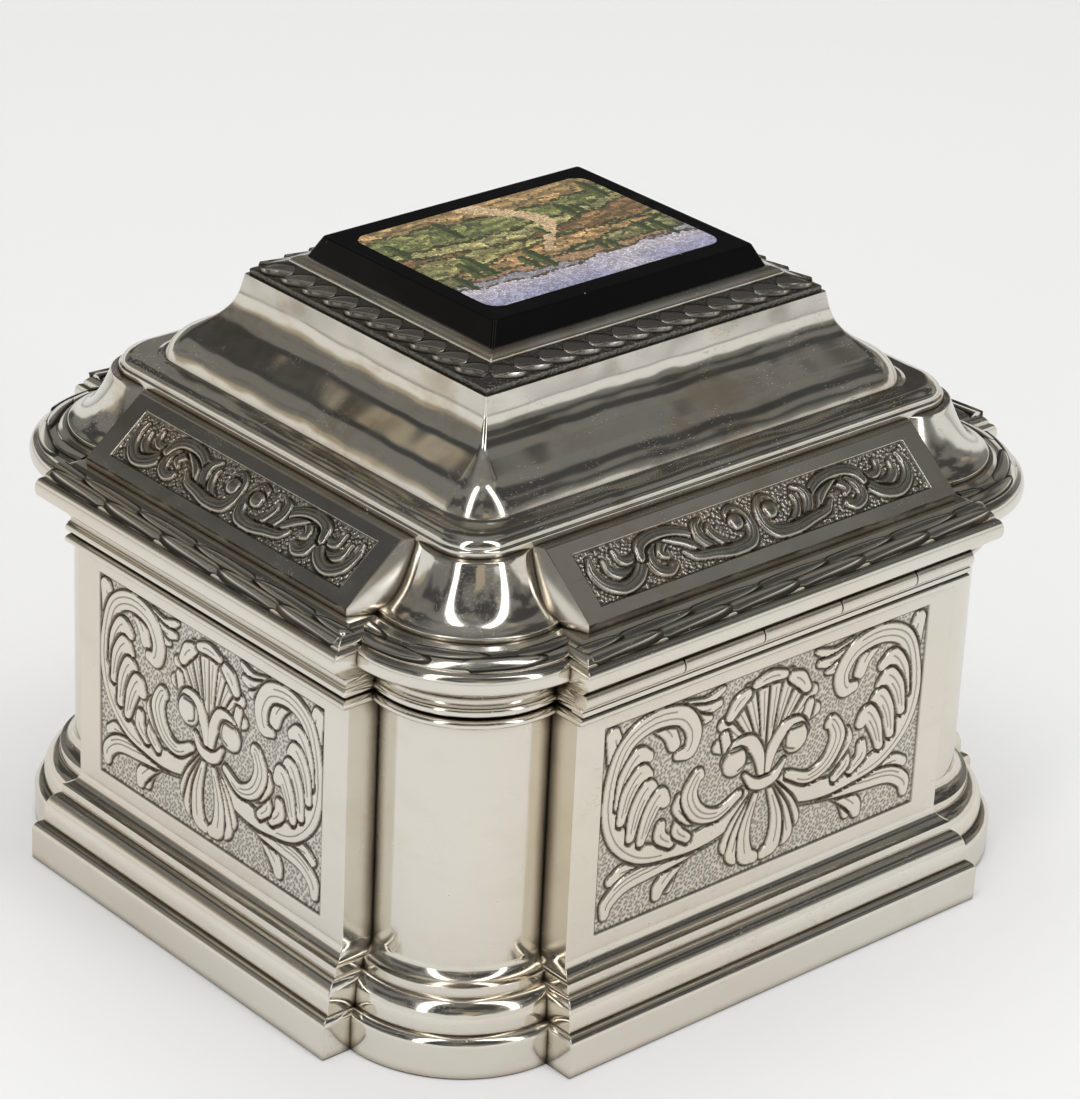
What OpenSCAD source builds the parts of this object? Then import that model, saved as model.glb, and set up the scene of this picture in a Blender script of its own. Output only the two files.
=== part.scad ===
// Silver table casket with a hinged, domed lid.
// Origin: middle of the underside. +Z is up, the hinge runs along the back (+Y), the front is -Y.
// The walls are straight sheets with a round column in each cut-back corner. Every moulding is a
// profile of [outward distance from the wall face, height] that runs along the four walls, turns a
// short return at each end and meets a ring of the same profile round each column.

/* [Overall] */
// Length over the plinth, left to right
plinth_length = 160; // [130:0.5:220]
// Depth over the plinth, front to back
plinth_depth = 146.5; // [120:0.5:200]
// Distance from each plinth face to the axis of the corner columns
corner_cut = 30; // [27:0.5:36]

/* [Plinth] */
// Height of the plain vertical band
fascia_h = 6.1; // [4:0.1:9]
// Width of the rounded edge above the band
edge_w = 1.8; // [1:0.1:2.6]
// Height of the rounded edge above the band
edge_h = 1.7; // [1:0.1:2.6]
// Height of the upright step above the rounded edge
riser_h = 1.4; // [0.8:0.1:2.5]
// Width of the large convex band
ovolo_w = 2.9; // [2:0.1:4]
// Height of the large convex band
ovolo_h = 4.4; // [3:0.1:6]
// Height of the upper step
upper_step_h = 1.8; // [1:0.1:3]
// Width of the concave foot of the wall
cavetto_w = 2.9; // [2:0.1:4]
// Height of the concave foot of the wall
cavetto_h = 2.6; // [2:0.1:4]

/* [Walls] */
// Height of the walls above the table
wall_top = 66.7; // [50:0.5:90]
// Thickness of the wall sheet
wall_t = 1.2; // [0.8:0.1:1.8]
// Radius of the corner columns
column_r = 16.4; // [14:0.2:18]
// How far each wall stops short of the column axis
return_in = 4.8; // [3.5:0.1:6]
// Height of the half-round bead at the top of the wall
bead_h = 2.4; // [1.6:0.1:3.5]
// Projection of that bead
bead_out = 2.2; // [1.2:0.1:2.6]
// Depth of the chased field in each wall
field_sink = 0.35; // [0.2:0.05:0.6]
// Plain border at the ends of the chased field
field_end_border = 6.4; // [4:0.2:12]
// Plain border above and below the chased field
field_rim_border = 3.1; // [2:0.1:8]

/* [Bottom and lining] */
// Thickness of the bottom plate
bottom_t = 1.2; // [0.8:0.1:2]
// Thickness of the felt under the bottom plate
felt_t = 0.8; // [0.6:0.1:2]
// Thickness of the lining
lining_t = 2.2; // [1.5:0.1:4]
// How far the lining stops below the wall's top
lining_drop = 2.5; // [1:0.1:8]

/* [Lid rim] */
// Gap between the body and the closed lid
seam = 0.2; // [0.15:0.05:0.4]
// Height of the lid's bead
lid_bead_h = 1.8; // [1.2:0.1:2.6]
// Height of the concave neck above it
neck_h = 1.9; // [1.2:0.1:3]
// Projection of the neck beyond the wall face
neck_out = 1.7; // [1:0.1:2.2]
// Projection of the large rim moulding
rim_out = 6.6; // [5:0.1:7.4]
// Height of the large rim moulding
rim_h = 9.8; // [8:0.1:13]
// Extra projection of the rim moulding round the columns
rim_corner_out = 1.3; // [0:0.1:2]

/* [Frieze and coves] */
// Height of the frieze blocks
frieze_h = 10.9; // [8:0.1:15]
// Width of the frieze's slope
frieze_w = 11.7; // [8:0.1:15]
// Upright lip at the foot of the slope
frieze_lip = 1.5; // [0.8:0.1:3]
// Sheet thickness of the frieze blocks and coves
frieze_t = 1.5; // [1:0.1:2]
// How far the foot of the slope lies behind the wall face
frieze_in = 0.6; // [0.2:0.1:2]
// How far the slope's end edge stops short of the wall's end
frieze_short = 1.8; // [0:0.1:4]
// Plain border round the chased field on the slope
frieze_border = 2.5; // [1.5:0.1:4]
// Plain border at the ends of that field
frieze_end_border = 4.4; // [3:0.1:7]
// Flat ledge between the slope and the collar
ledge_w = 1.9; // [1:0.1:4]

/* [Dome] */
// Width of the stepped collar at the foot of the dome
collar_w = 5.8; // [4:0.1:8]
// Height of the stepped collar
collar_h = 3.3; // [2:0.1:5]
// Radius of the convex lower part of the dome
bulge_r = 11; // [9:0.1:14]
// Radius of the concave upper part of the dome
hollow_r = 9.5; // [7:0.1:12]
// Straight slope between the two curves
slope_run = 3; // [1:0.1:5]
// Height of the steep band under the upper moulding
steep_h = 2.8; // [1.5:0.1:5]
// Sheet thickness of the dome
dome_t = 1.3; // [0.9:0.1:2]

/* [Plaque] */
// Width of the sloping upper laurel band
laurel_w = 4.9; // [3:0.1:7]
// Upright edge of the upper laurel band
laurel_edge = 1; // [0.6:0.1:2]
// Rise of the upper laurel band from its edge to the bezel
laurel_rise = 1.8; // [1:0.1:3]
// Thickness of the bezel's wall
bezel_t = 2.1; // [1.2:0.1:3]
// Height of the bezel above the dome
bezel_h = 4.2; // [3.6:0.1:6]
// Thickness of the bezel's floor
bezel_floor = 2.2; // [1:0.1:3]
// Thickness of the stone
stone_t = 6; // [4:0.1:9]
// Bevel of the stone's upper edges
stone_bevel = 2.2; // [1:0.1:3]
// Margin of plain stone beside the inlay's long sides
inlay_margin_y = 3.9; // [2:0.1:8]
// Margin of plain stone beside the inlay's short sides
inlay_margin_x = 3.1; // [2:0.1:8]
// Thickness of the inlay
inlay_t = 1.6; // [1:0.1:3]
// Corner radius of the inlay
inlay_r = 3.2; // [1:0.1:5]
// Gap round the stone and round the inlay
set_gap = 0.1; // [0.05:0.01:0.2]

/* [Hinge] */
// Outer radius of the knuckles
knuckle_r = 1.65; // [1.3:0.05:2]
// Radius of the pin
pin_r = 0.75; // [0.5:0.05:0.9]
// Running clearance between pin and bore
pin_gap = 0.05; // [0.02:0.01:0.1]
// Length of the three middle knuckles
knuckle_len = 18.6; // [14:0.1:22]
// Shift of the middle knuckle along the back, as on this hand-made hinge
knuckle_shift = -4; // [-6:0.5:6]
// Gap between neighbouring knuckles
knuckle_gap = 0.2; // [0.1:0.05:0.4]
// Height of the bearer strip under the knuckles
bearer_h = 0.8; // [0.5:0.1:1.2]
// Clearance round the turning knuckles
hinge_clear = 0.35; // [0.25:0.05:0.5]

/* [Hidden] */
SIDES = ["right", "back", "left", "front"];
CORNERS = ["back_right", "back_left", "front_left", "front_right"];

silver = "#c9c5ba";
dark_silver = "#8d887c";
velvet = "#4a1420";
felt = "#23402f";
black_stone = "#0b0b0d";
inlay_colour = "#8b8a5a";
round_fn = 96;
arc_steps = 8;

// Plan of the walls
plinth_out = edge_w + ovolo_w + cavetto_w;
wall_x = plinth_length / 2 - plinth_out;
wall_y = plinth_depth / 2 - plinth_out;
axis_x = plinth_length / 2 - corner_cut;
axis_y = plinth_depth / 2 - corner_cut;
end_x = axis_x - return_in;
end_y = axis_y - return_in;
end_gain = return_in / plinth_out;
reach = plinth_length + plinth_depth;

// Heights of the plinth's edges
edge_top = fascia_h + edge_h;
riser_top = edge_top + riser_h;
ovolo_top = riser_top + ovolo_h;
step_top = ovolo_top + upper_step_h;
plinth_top = step_top + cavetto_h;
field_low = plinth_top + field_rim_border;
field_high = wall_top - bead_h - field_rim_border;

// Heights of the lid's parts
lid_low = wall_top + seam;
neck_low = lid_low + lid_bead_h;
rim_low = neck_low + neck_h;
rim_top = rim_low + rim_h;
rim_ledge = rim_top;
frieze_top = rim_ledge + frieze_h;
collar_top = frieze_top + collar_h;

// Distances behind the wall face: foot and head of the frieze slope, collar and dome
frieze_foot = -frieze_in;
frieze_head = frieze_foot - frieze_w;
collar_face = frieze_head - ledge_w;
dome_foot = collar_face - collar_w;
// How far the column axes lie behind the wall faces
axis_in = corner_cut - plinth_out;
// Depth to which the straight mouldings are made before they are cut to their seat
run_in = 5 - axis_in;

// Profile on both sides of the middle, from half width w to -w
function both_ways(w, profile) = concat(
    [for (p = profile) [w + p[0], p[1]]],
    [for (k = [len(profile) - 1:-1:0]) [-w - profile[k][0], profile[k][1]]]
);

// Points of an elliptical arc
function arc(cx, cz, rx, rz, a0, a1, n = arc_steps) =
    [for (i = [0:n]) let (a = a0 + (a1 - a0) * i / n) [cx + rx * cos(a), cz + rz * sin(a)]];

// Plinth: band, rounded edge, step, large convex band, step and concave foot of the wall
step_in = 0.1;
plinth_profile = concat(
    [[plinth_out, 0]],
    arc(plinth_out - edge_w, fascia_h, edge_w, edge_h, 0, 90),
    [[cavetto_w + ovolo_w, riser_top]],
    arc(cavetto_w, riser_top, ovolo_w, ovolo_h, 0, 90),
    [[cavetto_w - step_in, step_top]],
    arc(cavetto_w, plinth_top, cavetto_w, cavetto_h, 270, 180)
);

// Half-round bead at the top of the wall
bead_profile = arc(0, wall_top - bead_h / 2, bead_out, bead_h / 2, -90, 90, 10);

// Lid bead and neck
lid_bead_out = bead_out - 0.1;
lid_bead_profile = concat(
    arc(lid_bead_out - lid_bead_h / 2, lid_low + lid_bead_h / 2, lid_bead_h / 2, lid_bead_h / 2, -90, 90),
    arc(lid_bead_out, neck_low + neck_h / 2, lid_bead_out - neck_out + 0.5, neck_h / 2, 250, 110, 6),
    [[neck_out, rim_low]]
);
// Thickness of the lid's rim behind the wall face
lid_wall = 2.4;

// Rim moulding: sloping underside, rounded nose, convex laurel band and groove
nose_z = rim_low + rim_h * 0.51;
nose_w = rim_out * 0.2;
rim_line_z = nose_z + rim_h * 0.24;
rim_line_w = rim_out - nose_w * 0.9;
groove_w = neck_out - 0.3;
groove_depth = 0.6;
rim_profile = concat(
    [[neck_out, rim_low], [rim_out - nose_w * 0.9, nose_z - rim_h * 0.2]],
    arc(rim_out - nose_w, nose_z, nose_w, rim_h * 0.22, -40, 60, 6),
    arc(groove_w, rim_line_z - 1, rim_line_w - groove_w, rim_top + 0.7 - rim_line_z, 22, 84, 9),
    [[groove_w, rim_top - groove_depth], [frieze_foot + 0.9, rim_top]]
);
// Round the columns the moulding swells out above its underside
rim_corner_profile = [for (p = rim_profile)
    [p[0] + rim_corner_out * min(1, (p[1] - rim_low) / 4), p[1]]];
// The same without its groove, to cut the ends of the straight runs
rim_crown = len(rim_profile) - 3;
rim_cut_profile = concat(
    [for (k = [0:rim_crown]) rim_corner_profile[k]],
    [[rim_corner_profile[rim_crown][0], rim_top]]
);

// Dome: convex foot, straight slope, concave shoulder and steep band
bulge_from = 22;
bulge_to = 60;
hollow_to = 12;
bulge_c = [dome_foot - bulge_r * cos(bulge_from), collar_top - bulge_r * sin(bulge_from)];
slope_a = [bulge_c[0] + bulge_r * cos(bulge_to), bulge_c[1] + bulge_r * sin(bulge_to)];
slope_b = slope_a + slope_run * [-sin(bulge_to), cos(bulge_to)];
hollow_c = slope_b + hollow_r * [cos(bulge_to), sin(bulge_to)];
hollow_end = hollow_c - hollow_r * [cos(hollow_to), sin(hollow_to)];
dome_head = hollow_end[0] - steep_h * tan(hollow_to);
dome_top = hollow_end[1] + steep_h;
dome_profile = concat(
    arc(bulge_c[0], bulge_c[1], bulge_r, bulge_r, bulge_from, bulge_to, 12),
    arc(hollow_c[0], hollow_c[1], -hollow_r, -hollow_r, bulge_to, hollow_to, 12),
    [[dome_head, dome_top]]
);

// Plaque, as distances behind the wall face
laurel_face = dome_head - 0.6;
bezel_face = laurel_face - laurel_w;
stone_face = bezel_face - bezel_t;
bezel_top = dome_top + bezel_h;
stone_low = dome_top + bezel_floor;
stone_top = stone_low + stone_t;
inlay_x = wall_x + stone_face - stone_bevel - inlay_margin_x;
inlay_y = wall_y + stone_face - stone_bevel - inlay_margin_y;

// Hinge
barrel_y = wall_y + 1.35;
barrel_z = wall_top + bearer_h + 0.25 + knuckle_r;
barrel_end = end_x + end_gain * neck_out;
bearer_in = 0.65;
web_w = 1.2;
lid_hinge_cut = 0.95;
knuckle_edges = [
    barrel_end,
    knuckle_shift + knuckle_len * 1.5,
    knuckle_shift + knuckle_len * 0.5,
    knuckle_shift - knuckle_len * 0.5,
    knuckle_shift - knuckle_len * 1.5,
    -barrel_end
];

// Distance of the wall face, half length of the wall and distance of the column axes,
// for each side counted anticlockwise from the right
function side_wall(i) = i % 2 == 0 ? wall_x : wall_y;
function side_end(i) = i % 2 == 0 ? end_y : end_x;
function side_axis(i) = i % 2 == 0 ? axis_x : axis_y;

module on_side(i) {
    rotate([0, 0, 90 * i]) children();
}

// Moves a corner made at the back right to corner i
module at_corner(i) {
    mirror([i == 1 || i == 2 ? 1 : 0, 0, 0])
        mirror([0, i >= 2 ? 1 : 0, 0])
            children();
}

// Plan of the walls, grown outwards by g, or inwards where g is below 0
module wall_plan(g = 0) {
    square([2 * (wall_x + g), 2 * (end_y + g)], center = true);
    square([2 * (end_x + g), 2 * (wall_y + g)], center = true);
    for (sx = [-1, 1], sy = [-1, 1])
        translate([sx * axis_x, sy * axis_y])
            circle(column_r + g, $fn = round_fn);
}

module wall_prism(g, low, high) {
    translate([0, 0, low])
        linear_extrude(high - low)
            wall_plan(g);
}

// Straight run of a moulding on side i, mitred into its own short returns
module straight_run(i, profile) {
    first = profile[0];
    last = profile[len(profile) - 1];
    on_side(i)
        intersection() {
            rotate([90, 0, 0])
                linear_extrude(reach, center = true)
                    translate([side_wall(i), 0])
                        polygon(concat(profile, [[run_in, last[1]], [run_in, first[1]]]));
            rotate([90, 0, 90])
                linear_extrude(reach)
                    polygon(both_ways(side_end(i), [for (p = profile) [end_gain * p[0], p[1]]]));
        }
}

// Ring of the same profile round the back right column, kept to its corner
module corner_ring(profile, inner) {
    first = profile[0];
    last = profile[len(profile) - 1];
    intersection() {
        translate([axis_x, axis_y, 0])
            rotate_extrude($fn = round_fn)
                polygon(concat(
                    [for (p = profile) [column_r + p[0], p[1]]],
                    [[column_r + inner, last[1]], [column_r + inner, first[1]]]
                ));
        translate([end_x, end_y, first[1] - 1])
            cube([reach, reach, last[1] - first[1] + 2]);
    }
}

module all_corner_rings(profile, inner) {
    for (i = [0:3])
        at_corner(i) corner_ring(profile, inner);
}

// Straight moulding on side i, cut to the plan of the walls at seat and to the corner rings
module seated_run(i, profile, ring_profile, seat) {
    low = profile[0][1];
    high = profile[len(profile) - 1][1];
    difference() {
        straight_run(i, profile);
        wall_prism(seat, low - 1, high + 1);
        all_corner_rings(ring_profile, seat - 1);
    }
}

// Base

module plinth_side(i) {
    color(silver) seated_run(i, plinth_profile, plinth_profile, 0);
}

module plinth_corner(i) {
    color(silver)
        at_corner(i)
            difference() {
                corner_ring(plinth_profile, -wall_t);
                wall_prism(0, -1, plinth_top + 1);
            }
}

// Sheet wall with both ends bent in, and the sunk field that carries the chasing
module panel(i) {
    wall = side_wall(i);
    end = side_end(i);
    color(silver)
        difference() {
            on_side(i)
                difference() {
                    translate([0, -end, 0])
                        cube([wall, 2 * end, wall_top]);
                    translate([-1, -end + wall_t, -1])
                        cube([wall - wall_t + 1, 2 * (end - wall_t), wall_top + 2]);
                    translate([wall - field_sink, -end + field_end_border, field_low])
                        cube([1, 2 * (end - field_end_border), field_high - field_low]);
                    translate([-1, -end - 1, -1])
                        cube([side_axis(i) + 1, 2 * end + 2, wall_top + 2]);
                }
            for (c = [0:3])
                at_corner(c)
                    translate([axis_x, axis_y, -1])
                        cylinder(r = column_r - wall_t, h = wall_top + 2, $fn = round_fn);
        }
}

module column(i) {
    color(silver)
        at_corner(i)
            difference() {
                translate([axis_x, axis_y, 0])
                    cylinder(r = column_r, h = wall_top, $fn = round_fn);
                translate([axis_x, axis_y, -1])
                    cylinder(r = column_r - wall_t, h = wall_top + 2, $fn = round_fn);
                translate([-reach / 2, -reach / 2, -1])
                    cube([reach, reach / 2 + end_y, wall_top + 2]);
                translate([-reach / 2, -reach / 2, -1])
                    cube([reach / 2 + end_x, reach, wall_top + 2]);
            }
}

// Whole ring of a moulding: four straight runs and four corner rings
module whole_ring(profile, inner) {
    for (i = [0:3])
        straight_run(i, profile);
    all_corner_rings(profile, inner);
}

module body_bead() {
    color(silver)
        difference() {
            whole_ring(bead_profile, -wall_t);
            wall_prism(0, wall_top - bead_h - 1, wall_top + 1);
        }
}

module bottom_plate() {
    color(silver) wall_prism(-wall_t - set_gap, felt_t, felt_t + bottom_t);
}

module base_felt() {
    color(felt) wall_prism(-wall_t - set_gap, 0, felt_t);
}

floor_low = felt_t + bottom_t;
floor_high = floor_low + lining_t;
lining_top = wall_top - lining_drop;
lining_out = -wall_t - set_gap;

module lining_floor() {
    color(velvet) wall_prism(lining_out, floor_low, floor_high);
}

// Board with both ends bent in, as the wall behind it
module lining_side(i) {
    end = side_end(i) + lining_out;
    color(velvet)
        difference() {
            on_side(i)
                translate([side_axis(i), -end, floor_high])
                    cube([side_wall(i) + lining_out - side_axis(i), 2 * end, lining_top - floor_high]);
            wall_prism(lining_out - lining_t, floor_high - 1, lining_top + 1);
        }
}

module lining_corner(i) {
    color(velvet)
        at_corner(i)
            difference() {
                translate([axis_x, axis_y, floor_high])
                    cylinder(r = column_r + lining_out, h = lining_top - floor_high, $fn = round_fn);
                translate([axis_x, axis_y, floor_high - 1])
                    cylinder(r = column_r + lining_out - lining_t, h = lining_top, $fn = round_fn);
                translate([-reach / 2, -reach / 2, floor_high - 1])
                    cube([reach, reach / 2 + end_y + lining_out, lining_top]);
                translate([-reach / 2, -reach / 2, floor_high - 1])
                    cube([reach / 2 + end_x + lining_out, reach, lining_top]);
            }
}

// Hinge

module along_barrel(x0, x1, r) {
    translate([x0, barrel_y, barrel_z])
        rotate([0, 90, 0])
            cylinder(r = r, h = x1 - x0, $fn = 48);
}

module hinge_bearer() {
    color(silver)
        translate([-barrel_end, wall_y - bearer_in, wall_top])
            cube([2 * barrel_end, bearer_in + bead_out, bearer_h]);
}

// Odd knuckles stand on the bearer, even ones reach in to the lid's rim
module knuckle(k) {
    x1 = knuckle_edges[k - 1] - (k == 1 ? 0 : knuckle_gap / 2);
    x0 = knuckle_edges[k] + (k == 5 ? 0 : knuckle_gap / 2);
    color(dark_silver)
        difference() {
            union() {
                along_barrel(x0, x1, knuckle_r);
                if (k % 2 == 1)
                    translate([x0, barrel_y - web_w / 2, wall_top + bearer_h])
                        cube([x1 - x0, web_w, knuckle_r]);
                else
                    translate([x0, wall_y - lid_hinge_cut, barrel_z])
                        cube([x1 - x0, barrel_y - wall_y + lid_hinge_cut, rim_low - barrel_z]);
            }
            along_barrel(x0 - 1, x1 + 1, pin_r + pin_gap);
        }
}

module hinge_pin() {
    pin_end = barrel_end - 0.4;
    color(silver) along_barrel(-pin_end, pin_end, pin_r);
}

// Room in the lid for the barrel, its webs and the bearer
module hinge_room() {
    along_barrel(-reach / 4, reach / 4, knuckle_r + hinge_clear);
    translate([-end_x - return_in, wall_y - lid_hinge_cut, lid_low - 1])
        cube([2 * (end_x + return_in), reach, rim_low - lid_low + 2]);
}

// Lid

module lid_bead() {
    color(silver)
        difference() {
            whole_ring(lid_bead_profile, -lid_wall);
            wall_prism(-lid_wall, lid_low - 1, rim_low + 1);
            hinge_room();
        }
}

module rim_side(i) {
    color(silver)
        difference() {
            seated_run(i, rim_profile, rim_cut_profile, -lid_wall);
            along_barrel(-reach / 4, reach / 4, knuckle_r + hinge_clear);
        }
}

module rim_corner(i) {
    color(silver)
        at_corner(i)
            difference() {
                corner_ring(rim_corner_profile, -lid_wall - 1);
                wall_prism(-lid_wall, rim_low - 1, rim_top + 1);
            }
}

// The frieze slope and its ends
slope_angle = atan2(frieze_h - frieze_lip, frieze_w);
end_turn = 22.8;
end_tilt = atan(cos(end_turn) * tan(end_turn) * frieze_w / (frieze_h - frieze_lip));

// Whole volume under the frieze slope of side i, down to the rim's ledge. As a cutting tool it
// runs past its top and bottom by spare.
module frieze_volume(i, inset = 0, spare = 0) {
    edge = side_end(i) - frieze_short;
    foot = frieze_foot - inset;
    on_side(i)
        difference() {
            rotate([90, 0, 0])
                linear_extrude(reach, center = true)
                    translate([side_wall(i), 0])
                        polygon(concat(
                            [[foot, rim_ledge - inset - spare]],
                            [[foot, rim_ledge + frieze_lip - inset * 0.4]],
                            [[frieze_head - inset * 0.4, frieze_top - inset]],
                            spare > 0 ? [[frieze_head, frieze_top + spare]] : [],
                            [[collar_face - spare, frieze_top - inset + spare]],
                            [[collar_face - spare, rim_ledge - inset - spare]]
                        ));
            for (m = [0, 1])
                mirror([0, m, 0])
                    translate([side_wall(i) + frieze_foot, edge - inset, rim_ledge + frieze_lip])
                        rotate([0, 0, 90 - end_turn])
                            rotate([0, -end_tilt, 0])
                                translate([0, -reach / 2, -reach / 2])
                                    cube([reach, reach, reach]);
        }
}

module frieze_side(i) {
    field_l = 2 * (side_end(i) - frieze_short - frieze_end_border);
    field_w = norm([frieze_w, frieze_h - frieze_lip]) - 2 * frieze_border;
    color(dark_silver)
        difference() {
            frieze_volume(i);
            frieze_volume(i, frieze_t);
            on_side(i)
                translate([side_wall(i) + frieze_foot, 0, rim_ledge + frieze_lip])
                    rotate([0, slope_angle - 180, 0])
                        translate([frieze_border, -field_l / 2, -field_sink])
                            mirror([0, 0, 1])
                                translate([0, 0, -2 * field_sink])
                                    cube([field_w, field_l, 2 * field_sink]);
        }
}

// The bell of each corner: foot on the rim's ledge, head against the collar
cove_foot_r = column_r + rim_corner_out + frieze_foot + 0.3;
cove_head_r = axis_in + collar_face + 1.4;

module cove_shape(inset) {
    steps = 14;
    foot = cove_foot_r - inset;
    head = cove_head_r - inset;
    low = rim_ledge;
    knee = low + 0.9 - inset * 0.3;
    top = frieze_top - inset;
    polygon(concat(
        [[0, low - inset], [foot, low - inset], [foot, knee]],
        arc(foot, top, foot - head, top - knee - 0.3, 262, 180, steps),
        [[0, top]]
    ));
}

module cove(i) {
    color(dark_silver)
        at_corner(i)
            difference() {
                translate([axis_x, axis_y, 0])
                    rotate_extrude($fn = round_fn)
                        difference() {
                            cove_shape(0);
                            cove_shape(frieze_t);
                        }
                frieze_volume(0, 0, 1);
                frieze_volume(1, 0, 1);
                swept_plate(collar_face, rim_ledge - 1, frieze_top + 1);
            }
}

// Solid with this profile on all four sides and round corners about the column axes
module swept(profile) {
    rotate([90, 0, 0])
        linear_extrude(2 * axis_y, center = true)
            polygon(both_ways(wall_x, profile));
    rotate([90, 0, 90])
        linear_extrude(2 * axis_x, center = true)
            polygon(both_ways(wall_y, profile));
    for (sx = [-1, 1], sy = [-1, 1])
        translate([sx * axis_x, sy * axis_y, 0])
            rotate_extrude($fn = round_fn)
                polygon(concat(
                    [[0, profile[0][1]]],
                    [for (p = profile) [axis_in + p[0], p[1]]],
                    [[0, profile[len(profile) - 1][1]]]
                ));
}

module swept_plate(g, low, high) {
    swept([[g, low], [g, high]]);
}

// Collar with an upright face, a rounded shoulder and a flat top
module dome_collar() {
    shoulder_w = collar_w * 0.5;
    shoulder_h = collar_h * 0.6;
    low = frieze_top - frieze_t;
    color(silver)
        difference() {
            swept(concat(
                [[collar_face, low]],
                arc(collar_face - shoulder_w, collar_top - shoulder_h, shoulder_w, shoulder_h, 0, 90, 6)
            ));
            block(dome_foot - dome_t, low - 1, collar_top + 1);
        }
}

// Profile on all four sides with mitred corners, carried down to the height low
module mitred(profile, low) {
    foot = profile[0][1] > low ? [[profile[0][0], low]] : [];
    whole = concat(foot, profile);
    intersection() {
        rotate([90, 0, 0])
            linear_extrude(reach, center = true)
                polygon(both_ways(wall_x, whole));
        rotate([90, 0, 90])
            linear_extrude(reach, center = true)
                polygon(both_ways(wall_y, whole));
    }
}

module dome() {
    inner_profile = concat(
        arc(bulge_c[0], bulge_c[1], bulge_r - dome_t, bulge_r - dome_t, bulge_from, bulge_to, 6),
        arc(hollow_c[0], hollow_c[1], -hollow_r - dome_t, -hollow_r - dome_t, bulge_to, hollow_to, 6),
        [[dome_head - dome_t, dome_top - dome_t]]
    );
    color(silver)
        difference() {
            mitred(dome_profile, collar_top);
            mitred(inner_profile, collar_top - 1);
        }
}

// Plain box whose sides lie g behind the wall faces
module block(g, low, high) {
    translate([-wall_x - g, -wall_y - g, low])
        cube([2 * (wall_x + g), 2 * (wall_y + g), high - low]);
}

module laurel_moulding() {
    profile = [
        [laurel_face, dome_top + laurel_edge],
        [bezel_face + 0.3, dome_top + laurel_edge + laurel_rise],
        [bezel_face, dome_top + laurel_edge + laurel_rise * 0.7]
    ];
    color(dark_silver)
        difference() {
            mitred(profile, dome_top);
            block(bezel_face, dome_top - 1, bezel_top);
        }
}

module stone_bezel() {
    color(silver)
        difference() {
            union() {
                block(bezel_face, dome_top, bezel_top - 1);
                block(bezel_face - bezel_t / 2, dome_top, bezel_top);
            }
            block(stone_face + set_gap, stone_low, bezel_top + 1);
        }
}

module inlay_plan(g) {
    x = inlay_x + g;
    y = inlay_y + g;
    square([2 * (x - inlay_r), 2 * y], center = true);
    square([2 * x, 2 * (y - inlay_r)], center = true);
    for (sx = [-1, 1], sy = [-1, 1])
        translate([sx * (x - inlay_r), sy * (y - inlay_r)])
            circle(inlay_r, $fn = 48);
}

module stone_slab() {
    profile = [[stone_face, bezel_top - 0.4], [stone_face - stone_bevel, stone_top]];
    color(black_stone)
        difference() {
            mitred(profile, stone_low);
            translate([0, 0, stone_top - inlay_t])
                linear_extrude(inlay_t + 1)
                    inlay_plan(set_gap);
        }
}

module mosaic_inlay() {
    color(inlay_colour)
        translate([0, 0, stone_top - inlay_t])
            linear_extrude(inlay_t)
                inlay_plan(0);
}

// Board that closes the lid's underside inside the rim
module lid_lining() {
    color(velvet) wall_prism(-lid_wall - set_gap, lid_low + 0.6, rim_low + 1.2);
}

for (i = [0:3])
    plinth_side(i);
for (i = [0:3])
    plinth_corner(i);
for (i = [0:3])
    panel(i);
for (i = [0:3])
    column(i);
body_bead();
bottom_plate();
base_felt();
lining_floor();
for (i = [0:3])
    lining_side(i);
for (i = [0:3])
    lining_corner(i);
hinge_bearer();
hinge_pin();
for (k = [1:5])
    knuckle(k);
lid_bead();
for (i = [0:3])
    rim_side(i);
for (i = [0:3])
    rim_corner(i);
for (i = [0:3])
    frieze_side(i);
for (i = [0:3])
    cove(i);
dome_collar();
dome();
laurel_moulding();
stone_bezel();
stone_slab();
mosaic_inlay();
lid_lining();
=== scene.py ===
"""Silver table casket with a hinged, domed lid: the looks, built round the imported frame."""

import math

import bmesh
import bpy
import numpy as np
from bpy.props import FloatProperty, FloatVectorProperty, PointerProperty
from mathutils import Matrix, Vector
from mathutils.kdtree import KDTree


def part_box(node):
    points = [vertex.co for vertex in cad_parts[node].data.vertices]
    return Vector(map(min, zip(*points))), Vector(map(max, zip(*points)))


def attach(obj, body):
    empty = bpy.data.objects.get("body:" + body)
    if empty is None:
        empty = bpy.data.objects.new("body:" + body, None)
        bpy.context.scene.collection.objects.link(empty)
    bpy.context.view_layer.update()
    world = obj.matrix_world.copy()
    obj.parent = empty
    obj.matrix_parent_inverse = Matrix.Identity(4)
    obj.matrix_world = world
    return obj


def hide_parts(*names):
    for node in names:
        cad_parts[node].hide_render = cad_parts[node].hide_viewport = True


bl_info = {
    "name": "Silver casket",
    "version": (1, 0, 0),
    "blender": (4, 5, 0),
    "location": "3D View > Sidebar > Casket",
    "description": "Builds a chased silver casket with a stone plaque around its packed frame",
    "category": "Object",
}

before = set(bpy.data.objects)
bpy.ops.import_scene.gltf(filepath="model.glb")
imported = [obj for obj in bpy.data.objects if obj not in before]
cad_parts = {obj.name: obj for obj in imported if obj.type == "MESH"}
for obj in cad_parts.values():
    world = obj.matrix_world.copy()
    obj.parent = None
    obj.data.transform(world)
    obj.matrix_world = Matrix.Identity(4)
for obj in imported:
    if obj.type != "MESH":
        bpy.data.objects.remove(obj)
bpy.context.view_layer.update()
MM = 0.001
SIDES = ("right", "back", "left", "front")
CORNERS = ("back_right", "back_left", "front_left", "front_right")
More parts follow.
